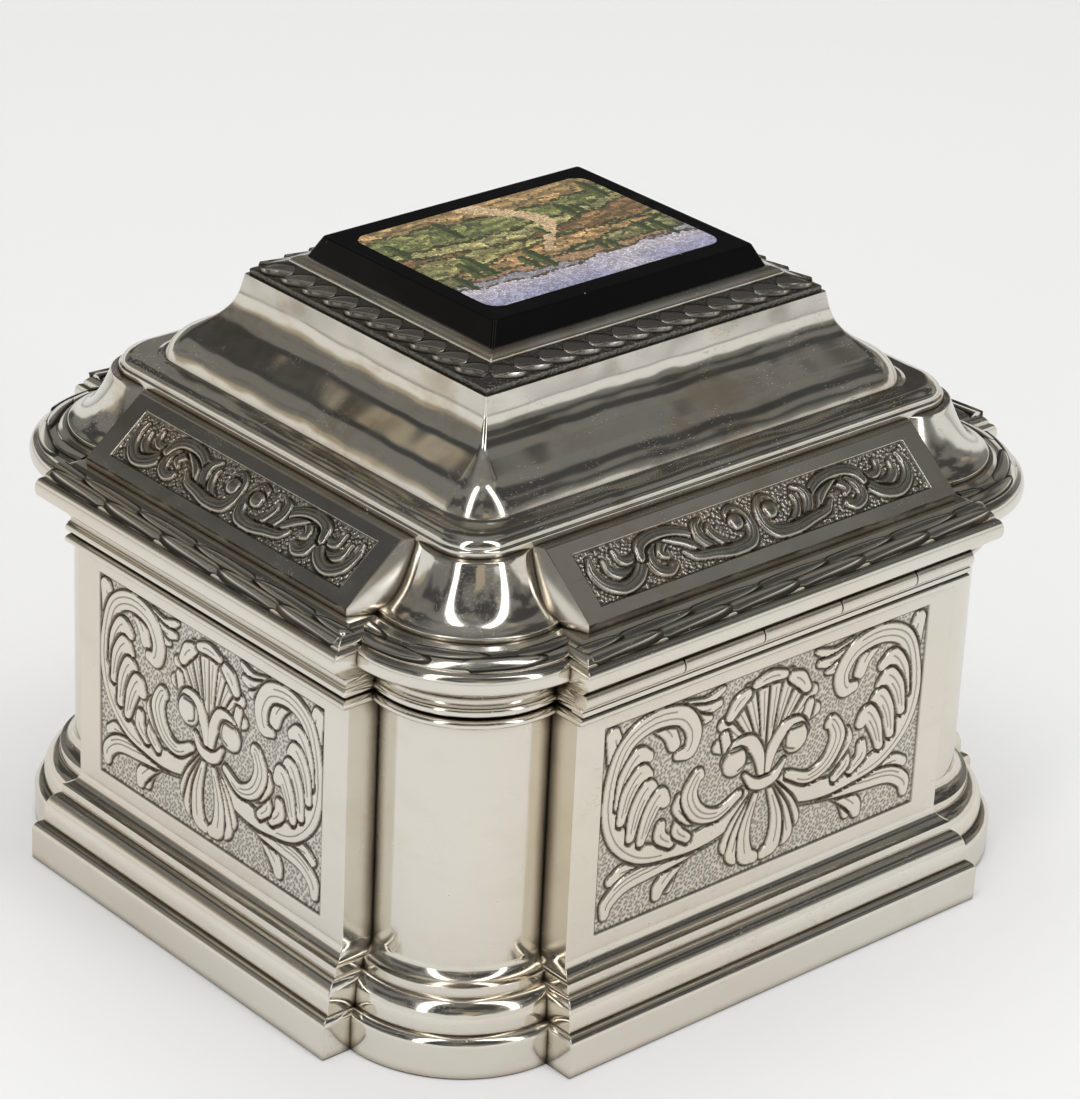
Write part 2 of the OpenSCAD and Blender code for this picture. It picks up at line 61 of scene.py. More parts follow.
# Signs of X and Y at those corners
QUARTERS = ((1, 1), (-1, 1), (-1, -1), (1, -1))


def low(node):
    """Lowest corner of a frame node, in millimetres."""
    return np.array(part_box(node)[0]) / MM


def high(node):
    """Highest corner of a frame node, in millimetres."""
    return np.array(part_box(node)[1]) / MM


# Plan of the walls, in millimetres, read from the frame
COLUMN_R = 16.4
WALL_X = high("panel_right")[0]
WALL_Y = high("panel_back")[1]
END_X = high("panel_back")[0]
END_Y = high("panel_right")[1]
AXIS_X = high("column_back_right")[0] - COLUMN_R
AXIS_Y = high("column_back_right")[1] - COLUMN_R
AXIS_IN = WALL_X - AXIS_X
PLINTH_OUT = high("plinth_right")[0] - WALL_X
END_GAIN = (high("plinth_back")[0] - END_X) / PLINTH_OUT

# Heights, in millimetres
PLINTH_TOP = high("plinth_right")[2]
WALL_TOP = high("panel_right")[2]
LID_LOW = low("lid_bead")[2]
RIM_LOW = low("rim_right")[2]
RIM_TOP = high("rim_right")[2]
FRIEZE_TOP = high("frieze_right")[2]
COLLAR_TOP = high("dome_collar")[2]
DOME_TOP = high("dome")[2]
BEZEL_TOP = high("stone_bezel")[2]
STONE_TOP = high("stone_slab")[2]


def arc(cx, cz, rx, rz, start, stop, steps=10):
    """Points of an elliptical arc in a profile."""
    turns = np.radians(np.linspace(start, stop, steps + 1))
    return [(cx + rx * math.cos(t), cz + rz * math.sin(t)) for t in turns]


def softened(profile, radius=0.18, steps=3):
    """The profile with its sharp corners rounded, so that every edge catches a highlight."""
    least_bend = 24
    points = [np.array(p, float) for p in profile]
    out = [profile[0]]
    for before, here, after in zip(points, points[1:], points[2:]):
        one, two = before - here, after - here
        a, b = np.linalg.norm(one), np.linalg.norm(two)
        bend = math.degrees(math.acos(np.clip(-np.dot(one, two) / (a * b), -1, 1)))
        if bend < least_bend:
            out.append(tuple(here))
            continue
        cut = min(radius, a * 0.45, b * 0.45)
        p, q = here + one / a * cut, here + two / b * cut
        for k in range(steps + 1):
            t = k / steps
            out.append(tuple(p * (1 - t) ** 2 + 2 * here * t * (1 - t) + q * t * t))
    out.append(profile[-1])
    return out


# Profiles of the mouldings: outward distance from the wall face, then height

def plinth_profile():
    """Band, rounded edge, step, large convex band, step and concave foot of the wall."""
    top = PLINTH_TOP
    cove_w, cove_h, ovolo_w, ovolo_h = 2.9, 2.6, 2.9, 4.4
    edge_w, edge_h = 1.8, 1.7
    riser, low_riser = 1.8, 1.4
    step_top = top - cove_h
    ovolo_low = step_top - riser - ovolo_h
    fascia = ovolo_low - low_riser - edge_h
    return softened(
        [(PLINTH_OUT - 0.25, 0.0), (PLINTH_OUT, 0.25), (PLINTH_OUT, fascia)]
        + arc(PLINTH_OUT - edge_w, fascia, edge_w, edge_h, 12, 90, 9)
        + [(cove_w + ovolo_w, ovolo_low - low_riser), (cove_w + ovolo_w, ovolo_low)]
        + arc(cove_w, ovolo_low, ovolo_w, ovolo_h, 6, 90, 14)
        + [(cove_w - 0.1, step_top)]
        + arc(cove_w, top, cove_w, cove_h, 262, 180, 10),
        0.14,
    )


RIM_BACK = -2.3  # inner face of the lid's rim


def lid_bead_profile():
    """Bead with a concave neck above it."""
    half = (RIM_LOW - 1.9 - LID_LOW) / 2
    return softened(
        [(RIM_BACK, LID_LOW), (0.9, LID_LOW)]
        + arc(2.1 - half, LID_LOW + half, half, half, -90, 90, 12)
        + arc(2.1, RIM_LOW - 0.95, 0.9, 0.95, 250, 110, 8)
        + [(1.7, RIM_LOW)],
        0.1,
    )


RIM_OUT = high("rim_right")[0] - WALL_X
RIM_H = RIM_TOP - RIM_LOW
NOSE_Z = RIM_LOW + RIM_H * 0.51
NOSE_W = RIM_OUT * 0.2
LINE_Z = NOSE_Z + RIM_H * 0.24
LINE_W = RIM_OUT - NOSE_W * 0.9
GROOVE_W = 1.4
# The convex band that carries the leaves: centre, radii, start and stop of its ellipse
BAND = (GROOVE_W, LINE_Z - 1, LINE_W - GROOVE_W, RIM_TOP + 0.55 - LINE_Z, 24, 84)


def rim_profile():
    """Sloping underside, rounded nose, engraved line, convex band, groove and ledge."""
    return softened(
        [(1.7, RIM_LOW), (RIM_OUT - NOSE_W * 0.9, NOSE_Z - RIM_H * 0.2)]
        + arc(RIM_OUT - NOSE_W, NOSE_Z, NOSE_W, RIM_H * 0.22, -40, 60, 12)
        + [(LINE_W - 0.02, LINE_Z - 0.28), (LINE_W - 0.42, LINE_Z - 0.16)]
        + arc(*BAND, 12)
        + [(GROOVE_W, RIM_TOP - 0.6), (0.55, RIM_TOP), (RIM_BACK, RIM_TOP)],
        0.12,
    )


RIM_SWELL = 1.3  # how far the rim stands out more at a column


def swollen(profile, rise=4.0):
    """The rim's profile as it swells out round a column."""
    return [(w + RIM_SWELL * min(1, max(0, z - RIM_LOW) / rise), z) for w, z in profile]


COLLAR_FACE = high("dome_collar")[0] - WALL_X
DOME_FOOT = high("dome")[0] - WALL_X


def collar_profile():
    """Upright face, rounded shoulder and flat top."""
    width, height = 2.9, 2.0
    return softened(
        [(COLLAR_FACE, FRIEZE_TOP - 0.5), (COLLAR_FACE, COLLAR_TOP - height - 0.2)]
        + [(COLLAR_FACE - 0.25, COLLAR_TOP - height)]
        + arc(COLLAR_FACE - width, COLLAR_TOP - height, width - 0.4, height, 4, 90, 12)
        + [(DOME_FOOT - 2.4, COLLAR_TOP)],
        0.14,
    )


def dome_profile():
    """Convex foot, straight slope, concave shoulder and steep band."""
    bulge, hollow, straight = 11.0, 9.5, 3
    start, turn, end = 22, 60, 12
    c = (DOME_FOOT - bulge * math.cos(math.radians(start)), COLLAR_TOP - bulge * math.sin(math.radians(start)))
    t = math.radians(turn)
    a = (c[0] + bulge * math.cos(t) - straight * math.sin(t), c[1] + bulge * math.sin(t) + straight * math.cos(t))
    h = (a[0] + hollow * math.cos(t), a[1] + hollow * math.sin(t))
    foot = [(DOME_FOOT + 0.9, COLLAR_TOP), (DOME_FOOT + 0.3, COLLAR_TOP + 0.25)]
    body = arc(*c, bulge, bulge, start, turn, 22) + arc(*h, -hollow, -hollow, turn, end, 22)
    head = (body[-1][0] - (DOME_TOP - body[-1][1]) * math.tan(math.radians(end)), DOME_TOP)
    return softened(foot + body + [head], 0.2)


LAUREL_FACE = high("laurel_moulding")[0] - WALL_X
LAUREL_TOP = high("laurel_moulding")[2]
BEZEL_FACE = high("stone_bezel")[0] - WALL_X
STONE_FACE = high("stone_slab")[0] - WALL_X


# Plans: the path that a profile follows at outward distance w

RETURN_STOP = 8.5  # where a wall's return ends, outward of the column axis
EDGE_SOFT = 0.22  # radius of a wall's outer corners
HIP_SPREAD = 12.5  # width of the dome's foot over which its hips open out
PICTURE_CORNER = 3.2


def wall_of(side):
    """A side's wall face and half its length, both along that side's own axes."""
    return (WALL_X, END_Y) if side % 2 == 0 else (WALL_Y, END_X)


def run_path(side, w):
    """Straight wall with a short return at each end, its outer corners slightly rounded."""
    wall, end = wall_of(side)
    end = end + END_GAIN * w
    inner = wall - AXIS_IN + RETURN_STOP
    points = [(inner, -end)]
    for sign, start in ((-1, 270), (1, 0)):
        points += arc(wall + w - EDGE_SOFT, sign * (end - EDGE_SOFT), EDGE_SOFT, EDGE_SOFT, start, start + 90, 2)
    points.append((inner, end))
    return points


def corner_path(w, steps=40):
    """Arc round the back right column, from one wall's end to the other's."""
    r = COLUMN_R + w
    a = math.asin((AXIS_Y - END_Y) / r)
    b = math.acos((END_X - AXIS_X) / r)
    turns = np.linspace(-a, b, steps + 1)
    return [(AXIS_X + r * math.cos(t), AXIS_Y + r * math.sin(t)) for t in turns]


def round_rectangle(x, y, r, steps=8):
    """Closed rectangle of half sizes x and y, its corners rounded by r."""
    points = []
    for k, (sx, sy) in enumerate(QUARTERS):
        points += arc(sx * (x - r), sy * (y - r), r, r, 90 * k, 90 * k + 90, steps)
    return points


def rounded_path(w, least=0.3, steps=8, radius=None):
    """Closed rectangle with round corners, about the column axes unless a radius is given."""
    r = max(least, AXIS_IN + w) if radius is None else radius
    return round_rectangle(WALL_X + w, WALL_Y + w, r, steps)


def collar_path(w):
    """Plan of the collar, whose corners stay broad."""
    return rounded_path(w, steps=14, radius=max(5.0, 8.2 + (w - COLLAR_FACE) * 0.35))


def dome_path(w):
    """Plan of the dome: sharp hips that open out to round corners at its foot."""
    spread = min(1.0, max(0.0, (w - DOME_FOOT + HIP_SPREAD) / HIP_SPREAD))
    return rounded_path(w, steps=14, radius=0.45 + 8.0 * spread ** 1.7)


def picture_path(w):
    """Plan of the picture, w out from its edge."""
    x, y, _ = high("mosaic_inlay")
    return round_rectangle(x + w, y + w, max(0.2, PICTURE_CORNER + w))


def plan_path(w, steps=16):
    """The whole plan of the wall at offset w: four walls, their returns and the round corners."""
    r = COLUMN_R + w
    ex, ey = END_X + END_GAIN * w, END_Y + END_GAIN * w
    a = math.acos(min(1, max(-1, (ex - AXIS_X) / r)))
    b = math.asin(min(1, max(-1, (ey - AXIS_Y) / r)))
    one = arc(WALL_X + w - EDGE_SOFT, ey - EDGE_SOFT, EDGE_SOFT, EDGE_SOFT, 0, 90, 2)
    one += [(AXIS_X + r * math.cos(t), AXIS_Y + r * math.sin(t)) for t in np.linspace(b, a, steps + 1)]
    one += arc(ex - EDGE_SOFT, WALL_Y + w - EDGE_SOFT, EDGE_SOFT, EDGE_SOFT, 0, 90, 2)
    points = []
    for corner, (sx, sy) in enumerate(QUARTERS):
        points += [(sx * x, sy * y) for x, y in (one[::-1] if corner % 2 else one)]
    return points


def plan_area(w):
    """Area of the wall's plan at offset w, in square millimetres."""
    p = np.array(plan_path(w))
    q = np.roll(p, -1, axis=0)
    return abs(float((p[:, 0] * q[:, 1] - q[:, 0] * p[:, 1]).sum())) / 2


def cove_path(w, steps=44):
    """Arc of a cove, wider towards its head so that its ends stay inside the friezes."""
    r = COLUMN_R + w
    spare = math.radians(19 + max(0.0, COVE_FOOT - r) * 2.9)
    turns = np.linspace(-spare, math.pi / 2 + spare, steps + 1)
    return [(AXIS_X + r * math.cos(t), AXIS_Y + r * math.sin(t)) for t in turns]


# Mesh making

def turned(points, quarter):
    """Points turned by quarter turns about the middle of the object."""
    p = np.array(points, float)
    for _ in range(quarter % 4):
        p[:, [0, 1]] = np.stack([-p[:, 1], p[:, 0]], 1)
    return p


def at_corner(points, corner):
    """Points made at the back right corner, mirrored to another corner."""
    p = np.array(points, float)
    p[:, :2] *= QUARTERS[corner]
    return p


def carried(profile, path):
    """Rows of points: every place of a profile carried along the path for its own outward distance."""
    return [np.array([(x, y, z) for x, y in path(w)]) for w, z in profile]


def neighbours(count, closed):
    """Every index and the next one, with the last and the first where they close."""
    return [(k, (k + 1) % count) for k in range(count if closed else count - 1)]


def skin(rows, around=False, closed=True, ends=False):
    """Points and faces over rows of points.

    Around joins the last row to the first, closed joins the two ends of each row, and ends are flat
    faces over the first and the last row.
    """
    count = len(rows[0])
    faces = [
        [r * count + k, r * count + m, n * count + m, n * count + k]
        for r, n in neighbours(len(rows), around)
        for k, m in neighbours(count, closed)
    ]
    points = np.concatenate(rows)
    if ends:
        faces += [list(range(count))[::-1], list(range(len(points) - count, len(points)))]
    return points, faces


def backed(profile, back):
    """A profile closed by an upright back."""
    return profile + [(back, profile[-1][1]), (back, profile[0][1])]


def bar(section, path):
    """Closed solid of a closed section along an open path."""
    rows = carried(section, path)
    points, faces = skin(rows, around=True, closed=False)
    count = len(rows[0])
    first = [r * count for r in range(len(rows))]
    return points, faces + [first, [i + count - 1 for i in first][::-1]]


def ring(profile, back, path):
    """Closed solid of a profile and its back round a closed path."""
    return skin(carried(backed(profile, back), path), around=True)


def lathe(profile, steps, y, z):
    """A round bar along X about the axis at y and z; the profile is places and radii."""
    turns = np.linspace(0, 2 * math.pi, steps, endpoint=False)
    rows = [[(x, y + r * math.cos(t), z + r * math.sin(t)) for t in turns] for x, r in profile]
    return skin(rows, ends=True)


def pad(out, foot, crown):
    """A crowned pad of the wall's plan, from the level of its foot up or down to that of its crown."""
    levels = ((0.0, 0.0), (0.0, 0.45), (-0.25, 0.75), (-0.7, 0.93), (-1.6, 1.0))
    rows = carried([(out + inset, foot + (crown - foot) * share) for inset, share in levels], plan_path)
    edge, centre = rows[-1], np.array((0, 0, rows[-1][0][2]))
    rows += [(edge - centre) * share + centre for share in (0.85, 0.6, 0.3, 0.1)]
    return skin(rows, ends=True)


class Parts:
    """Vertices and faces gathered for one piece."""

    def __init__(self):
        self.points = []
        self.faces = []
        self.tones = []
        self.count = 0

    def add(self, points, faces, tones=None):
        self.points.append(np.asarray(points, float))
        if tones is not None:
            self.tones.append(tones)
        self.faces += [[i + self.count for i in f] for f in faces]
        self.count += len(points)
        return self

    def piece(self, name, material, smooth=38, weld=0.002):
        mesh = bpy.data.meshes.new(name)
        mesh.from_pydata((np.concatenate(self.points) * MM).tolist(), [], self.faces)
        piece = finished(name, mesh, material, smooth, weld)
        if self.tones:
            give_tones(mesh, np.concatenate(self.tones))
        return piece


def give_tones(mesh, values):
    """Stores how bright each point of the metal is to look, between 0 and 1."""
    mesh.attributes.new("tone", "FLOAT", "POINT").data.foreach_set("value", values)


def finished(name, mesh, material, smooth=38, weld=0.002):
    """Object of a mesh with welded points, outward faces and highlights kept off its flats."""
    work = bmesh.new()
    work.from_mesh(mesh)
    if weld:
        bmesh.ops.remove_doubles(work, verts=work.verts, dist=weld * MM)
    bmesh.ops.recalc_face_normals(work, faces=work.faces)
    work.to_mesh(mesh)
    work.free()
    mesh.shade_smooth()
    mesh.set_sharp_from_angle(angle=math.radians(smooth))
    mesh.materials.append(material)
    piece = bpy.data.objects.new(name, mesh)
    bpy.context.scene.collection.objects.link(piece)
    weighted = piece.modifiers.new("Weighted normals", "WEIGHTED_NORMAL")
    weighted.keep_sharp = True
    weighted.weight = 60
    return piece


def settle(piece, body, slot, *nodes):
    """Puts a piece on the body that it rides on and hides the frame nodes that it stands in for."""
    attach(piece, body)
    if nodes:
        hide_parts(*nodes)
    return piece


def make_piece(node, form, look, body, slot, smooth=38, name=None):
    """A piece from its points and faces, in its finish, in place of the node that it is named after."""
    piece = Parts().add(*form).piece(name or node.capitalize(), finish(look), smooth)
    return settle(piece, body, slot, node)


def make_runs(stem, section, look, body, slot, smooth=38):
    """The four straight runs of a closed section."""
    made = []
    for side in range(4):
        points, faces = bar(section, lambda w, s=side: run_path(s, w))
        form = turned(points, side), faces
        made.append(make_piece(f"{stem}_{SIDES[side]}", form, look, body, slot, smooth))
    return made


def make_corners(stem, section, look, body, slot, smooth=38, path=corner_path):
    """The four quarter rings of a closed section."""
    points, faces = bar(section, path)
    return [
        make_piece(f"{stem}_{CORNERS[k]}", (at_corner(points, k), faces), look, body, slot, smooth) for k in range(4)
    ]


def refinish(node, look):
    """A new finish for a node of the frame that is shown as it is."""
    for slot in bpy.data.objects[node].material_slots:
        slot.material = finish(look)


# Materials

class Wire:
    """A number in a node tree, on which Python's operators make Math nodes."""

    def __init__(self, work, socket):
        self.work = work
        self.socket = socket

    def _math(self, operation, *values):
        return self.work.out("ShaderNodeMath", {"operation": operation}, dict(enumerate(values)))

    def __add__(self, other):
        return self._math("ADD", self, other)

    def __radd__(self, other):
        return self._math("ADD", other, self)

    def __sub__(self, other):
        return self._math("SUBTRACT", self, other)

    def __rsub__(self, other):
        return self._math("SUBTRACT", other, self)

    def __mul__(self, other):
        return self._math("MULTIPLY", self, other)

    def __rmul__(self, other):
        return self._math("MULTIPLY", other, self)

    def __truediv__(self, other):
        return self._math("DIVIDE", self, other)

    def __lt__(self, other):
        return self._math("LESS_THAN", self, other)

    def __gt__(self, other):
        return self._math("GREATER_THAN", self, other)

    def call(self, operation, *others):
        """Any other Math operation on this number."""
        return self._math(operation, self, *others)

    def between(self, start, stop):
        """0 below start, 1 above stop, and a smooth ramp in between."""
        sockets = {"Value": self, "From Min": start, "From Max": stop}
        return self.work.out("ShaderNodeMapRange", {"interpolation_type": "SMOOTHSTEP"}, sockets)


class Work:
    """Adds nodes to one tree."""

    def __init__(self, tree):
        self.tree = tree

    def make(self, kind, settings=None, sockets=None):
        node = self.tree.nodes.new(kind)
        for name, value in (settings or {}).items():
            setattr(node, name, value)
        for key, value in (sockets or {}).items():
            self.join(value, node.inputs[key])
        return node

    def join(self, value, socket):
        if isinstance(value, Wire):
            self.tree.links.new(value.socket, socket)
        elif socket.type == "RGBA" and len(value) == 3:
            socket.default_value = (*value, 1)
        else:
            socket.default_value = value

    def out(self, kind, settings=None, sockets=None, output=0):
        return Wire(self, self.make(kind, settings, sockets).outputs[output])

    def split(self, vector, kind="XYZ"):
        """The three numbers of a vector or, with kind Color, of a colour."""
        node = self.make("ShaderNodeSeparate" + kind, {}, {0: vector})
        return [Wire(self, socket) for socket in node.outputs[:3]]

    def mix(self, factor, a, b, blend="MIX"):
        """Colour a where factor is 0 and b where it is 1."""
        settings = {"data_type": "RGBA", "blend_type": blend}
        return self.out("ShaderNodeMix", settings, {0: factor, 6: a, 7: b}, 2)

    def noise(self, place, scale, detail=2.0, rough=0.5, dims="3D"):
        sockets = {"Vector": place, "Scale": scale, "Detail": detail, "Roughness": rough}
        return self.out("ShaderNodeTexNoise", {"noise_dimensions": dims}, sockets)

    def cells(self, place, scale):
        """Distance from the nearest of many scattered points."""
        return self.out("ShaderNodeTexVoronoi", {}, {"Vector": place, "Scale": scale})

    def stretched(self, place, scale, turn=(0, 0, 0)):
        sockets = {"Vector": place, "Rotation": turn, "Scale": scale}
        return self.out("ShaderNodeMapping", {}, sockets)

    def attribute(self, name):
        return self.out("ShaderNodeAttribute", {"attribute_name": name}, {}, 2)

    def object_place(self):
        return self.out("ShaderNodeTexCoord", {}, {}, 3)

    def bump(self, height, distance, strength=1.0, normal=None):
        sockets = {"Height": height, "Distance": distance, "Strength": strength}
        if normal is not None:
            sockets["Normal"] = normal
        return self.out("ShaderNodeBump", {}, sockets)


def material(name, preview):
    """An empty material: its nodes' helper and its main shader."""
    made = bpy.data.materials.new(name)
    made.use_nodes = True
    made.diffuse_color = (*preview, 1)
    work = Work(made.node_tree)
    shader = made.node_tree.nodes["Principled BSDF"]
    return made, work, shader


def crevices(work, distance, samples=5):
    """1 in the open and 0 deep in a recess."""
    return work.out("ShaderNodeAmbientOcclusion", {"samples": samples}, {"Distance": distance}, 1)


def silver(name, tint, rough, shade_and_tarnish_strength=0.85, reach=3.0, wave=1.0, ripple=0.14, scuffs=0.5, film=0.1, stipple=0.0,
           relief=False):
    """Polished silver: slight hammer waves, fine scuffs, brown film, and painted shade with tarnish in the recesses,
    found by ambient occlusion.

    On relief it is also darkened by its tones: the chasing's outlines, and painted shade round the leaves and over
    the frieze's relief.
    """
    look = bpy.context.scene.casket_finish
    made, work, shader = material(name, tint)
    place = work.object_place()
    cloudy = work.noise(place, 38, 3)
    # Ambient occlusion finds the recesses, which are darkened below: painted shade, mixed with tarnish.
    open_ = crevices(work, reach * MM)
    recess_shade_and_tarnish = (1 - open_.between(0.3, 0.92)) * (0.6 + 0.7 * cloudy) * shade_and_tarnish_strength
    tight = (1 - crevices(work, 0.8 * MM, 4).between(0.42, 0.9)) * shade_and_tarnish_strength
    recess_shade_and_tarnish = recess_shade_and_tarnish.call("MAXIMUM", tight)
    tint_noise = work.noise(place, 11, 2)
    warm = tuple(c * w for c, w in zip(tint, (0.98, 0.95, 0.9)))
    colour = work.mix(tint_noise.between(0.42, 0.7), tint, warm)
    # Low tones darken relief towards the oxide colour: the chasing's outlines, and painted shade round the leaves and
    # on the frieze's relief.
    if relief:
        tone = work.attribute("tone")
        colour = work.mix(1 - tone, colour, tuple(look.oxide_and_shade))
    brown = tuple(c * w for c, w in zip(tint, (0.7, 0.57, 0.4)))
    filmed = work.noise(work.stretched(place, (1, 1, 2)), 60, 4, 0.65).between(0.5, 0.68)
    colour = work.mix(filmed * film, colour, brown)
    # Painted shade and tarnish: brown, then the oxide colour, deep in the recesses.
    colour = work.mix(recess_shade_and_tarnish.between(0.05, 0.45) * 0.5, colour, brown)
    colour = work.mix(recess_shade_and_tarnish.between(0.15, 0.95), colour, tuple(look.oxide_and_shade))
    specks = 1 - work.cells(place, 240).between(0.035, 0.07)
    specks = specks * work.noise(place, 55, 1).between(0.5, 0.56) * scuffs
    colour = work.mix(specks, colour, (0.9, 0.9, 0.87))
    work.join(colour, shader.inputs["Base Color"])
    fine = work.noise(work.stretched(place, (1, 9, 9), (0.3, 0.5, 0.4)), 900, 2)
    marks = fine.between(0.66, 0.74) * work.noise(place, 120, 1).between(0.5, 0.62)
    smear = work.noise(place, 70, 4, 0.6)
    gloss = rough + 0.09 * smear.between(0.45, 0.75) + 0.25 * scuffs * marks + 0.35 * recess_shade_and_tarnish + 0.4 * specks
    if relief:
        gloss = gloss + 0.3 * (1 - tone)
    work.join(gloss, shader.inputs["Roughness"])
    shader.inputs["Metallic"].default_value = 1.0
    swell = work.noise(place, 24, 1) + ripple * work.noise(place, 75, 1)
    normal = work.bump(swell, 0.0004 * wave * look.waviness)
    normal = work.bump(marks, 0.00004, scuffs, normal)
    if stipple:
        normal = work.bump(work.cells(place, 1700), 0.0002, stipple, normal)
    work.join(normal, shader.inputs["Normal"])
    return made


def black_stone():
    """Polished onyx with a few pale specks."""
    made, work, shader = material("Black onyx", (0.01, 0.01, 0.012))
    place = work.object_place()
    specks = 1 - work.cells(place, 420).between(0.05, 0.09)
    thin = specks * work.noise(place, 160, 1).between(0.6, 0.66)
    colour = work.mix(thin, (0.0045, 0.0045, 0.005), (0.2, 0.2, 0.2))
    work.join(colour, shader.inputs["Base Color"])
    work.join(0.05 + 0.12 * work.noise(place, 90, 3).between(0.5, 0.72), shader.inputs["Roughness"])
    shader.inputs["IOR"].default_value = 1.5
    shader.inputs["Specular IOR Level"].default_value = 0.12
    work.join(work.bump(work.noise(place, 45, 1), 0.00008), shader.inputs["Normal"])
    return made


def picture_stone():
    """Fine tesserae set to a made-up landscape: sky, rolling fields, hedges, tall trees and a path."""
    made, work, shader = material("Mosaic tesserae", (0.45, 0.44, 0.3))
    place = work.object_place()
    half = high("mosaic_inlay") * MM
    stretch, size = 1.2, 0.62 * MM
    facts = {"Vector": work.stretched(place, (1, stretch, 1)), "Scale": 1 / size, "Randomness": 0.75}
    flat = {"voronoi_dimensions": "2D"}
    tile = work.make("ShaderNodeTexVoronoi", flat, facts)
    edge = {"voronoi_dimensions": "2D", "feature": "DISTANCE_TO_EDGE"}
    seam = work.out("ShaderNodeTexVoronoi", edge, facts)
    x, y, _ = work.split(Wire(work, tile.outputs["Position"]))
    x, y = x / float(half[0]), y / float(half[1] * stretch)
    chance = work.split(Wire(work, tile.outputs["Color"]), "Color")[0]

    def ridge(base, swell, pace, start):
        return base + swell * (x * pace + start).call("SINE") + 0.02 * (x * 17 + start).call("SINE")

    # Parcels of field, each a colour of its own, and rows of crop in them
    spot = work.out("ShaderNodeCombineXYZ", {}, {0: x * 1.4, 1: y})
    parcel_facts = {"Vector": spot, "Scale": 5.5, "Randomness": 1.0}
    parcel = work.out("ShaderNodeTexVoronoi", flat, parcel_facts, "Color")
    border = work.out("ShaderNodeTexVoronoi", edge, parcel_facts)
    pick, turn, _ = work.split(parcel, "Color")
    rows = ((y * (24 + 30 * turn) + x * (26 - 50 * turn)).call("SINE")).between(-0.3, 0.8)
    crop = work.mix(rows, (0.7, 0.68, 0.66), (1.35, 1.32, 1.25))
    crop = work.mix(0.8, crop, work.mix(pick, (0.62, 0.66, 0.62), (1.5, 1.36, 1.22)), "MULTIPLY")
    lines = (1 - border.between(0.02, 0.05)) * (chance > 0.4)
    # Sky, far hills and the line of the fields
    colour = work.mix(y.between(0.55, 1.0), (0.43, 0.41, 0.45), (0.27, 0.28, 0.4))
    cloud = work.noise(work.stretched(place, (60, 260, 1)), 1, 2, dims="2D").between(0.5, 0.62)
    colour = work.mix(cloud * 0.5, colour, (0.5, 0.48, 0.5))
    # Thickness, gaps and colour of the line along a ridge, then ridges from far to near
    scrub, hedge = (0.02, 0.3, (0.07, 0.05, 0.03)), (0.026, 0.25, (0.045, 0.05, 0.022))
    fields = (0.42, 0.05, 2.6, 4.0)
    for shape, tint, (thick, gaps, dark) in (
        ((0.6, 0.05, 4.1, 0.4), (0.25, 0.25, 0.27), scrub),
        ((0.52, 0.06, 3.0, 2.2), (0.3, 0.2, 0.11), scrub),
        (fields, (0.19, 0.2, 0.1), hedge),
        ((0.3, 0.08, 2.9, 0.9), (0.34, 0.24, 0.12), hedge),
        ((0.14, 0.1, 2.3, 5.3), (0.27, 0.27, 0.12), hedge),
        ((-0.04, 0.1, 2.1, 3.1), (0.2, 0.13, 0.065), hedge),
        ((-0.22, 0.12, 2.6, 1.2), (0.31, 0.31, 0.15), hedge),
        ((-0.44, 0.12, 1.9, 1.4), (0.17, 0.2, 0.08), hedge),
        ((-0.72, 0.08, 2.7, 2.6), (0.3, 0.22, 0.11), hedge),
    ):
        top = ridge(*shape)
        colour = work.mix(y < top, colour, tint)
        colour = work.mix(((y - top).call("ABSOLUTE") < thick) * (chance > gaps), colour, dark)
    land = y < ridge(*fields)
    colour = work.mix(land, colour, work.mix(1.0, colour, crop, "MULTIPLY"))
    colour = work.mix(land * lines, colour, (0.06, 0.06, 0.03))
    # A pale path winding up the meadow
    bend = 0.16 * (y * 4.5).call("SINE") - 0.1
    path = ((x - bend).call("ABSOLUTE") < 0.05 - 0.05 * y) * (y < 0.25)
    colour = work.mix(path, colour, (0.5, 0.38, 0.22))
    trees = ((-0.83, 0.3, 0.36), (-0.72, 0.22, 0.28), (-0.36, 0.4, 0.24), (-0.28, 0.38, 0.18), (0.2, 0.22, 0.42),
             (0.3, 0.28, 0.3), (0.62, 0.02, 0.46), (0.71, 0.1, 0.34), (0.88, 0.34, 0.3), (-0.5, -0.5, 0.34),
             (-0.58, -0.44, 0.24), (0.4, -0.75, 0.4), (-0.9, -0.8, 0.42), (0.9, -0.6, 0.36), (-0.12, -0.2, 0.2))
    for middle, foot, tall in trees:
        up = (y - (foot + tall * 0.42)) / (tall * 0.55)
        wide = 0.012 + tall * 0.09
        across = (x - middle) / wide
        crown = (across * across + up * up) < (1.05 - 0.4 * up)
        colour = work.mix(crown, colour, (0.03, 0.045, 0.015))
        lit = crown * (across > 0.15)
        colour = work.mix(lit * 0.7, colour, (0.09, 0.11, 0.03))
    colour = work.mix(0.5, colour, work.mix(chance, (0.55, 0.5, 0.45), (1.5, 1.5, 1.5)), "MULTIPLY")
    colour = work.mix(0.35, colour, work.mix(chance, (0.6, 0.6, 0.6), (1.3, 1.3, 1.3)), "MULTIPLY")
    colour = work.mix(1.0, colour, (1.58, 1.54, 1.56), "MULTIPLY")
    grout = 1 - seam.between(0.03, 0.09)
    colour = work.mix(grout * 0.75, colour, (0.035, 0.03, 0.028))
    work.join(colour, shader.inputs["Base Color"])
    work.join(0.3 + 0.25 * chance + 0.2 * grout, shader.inputs["Roughness"])
    work.join(work.bump(seam.between(0.0, 0.12) + 0.5 * chance, 0.00005), shader.inputs["Normal"])
    return made


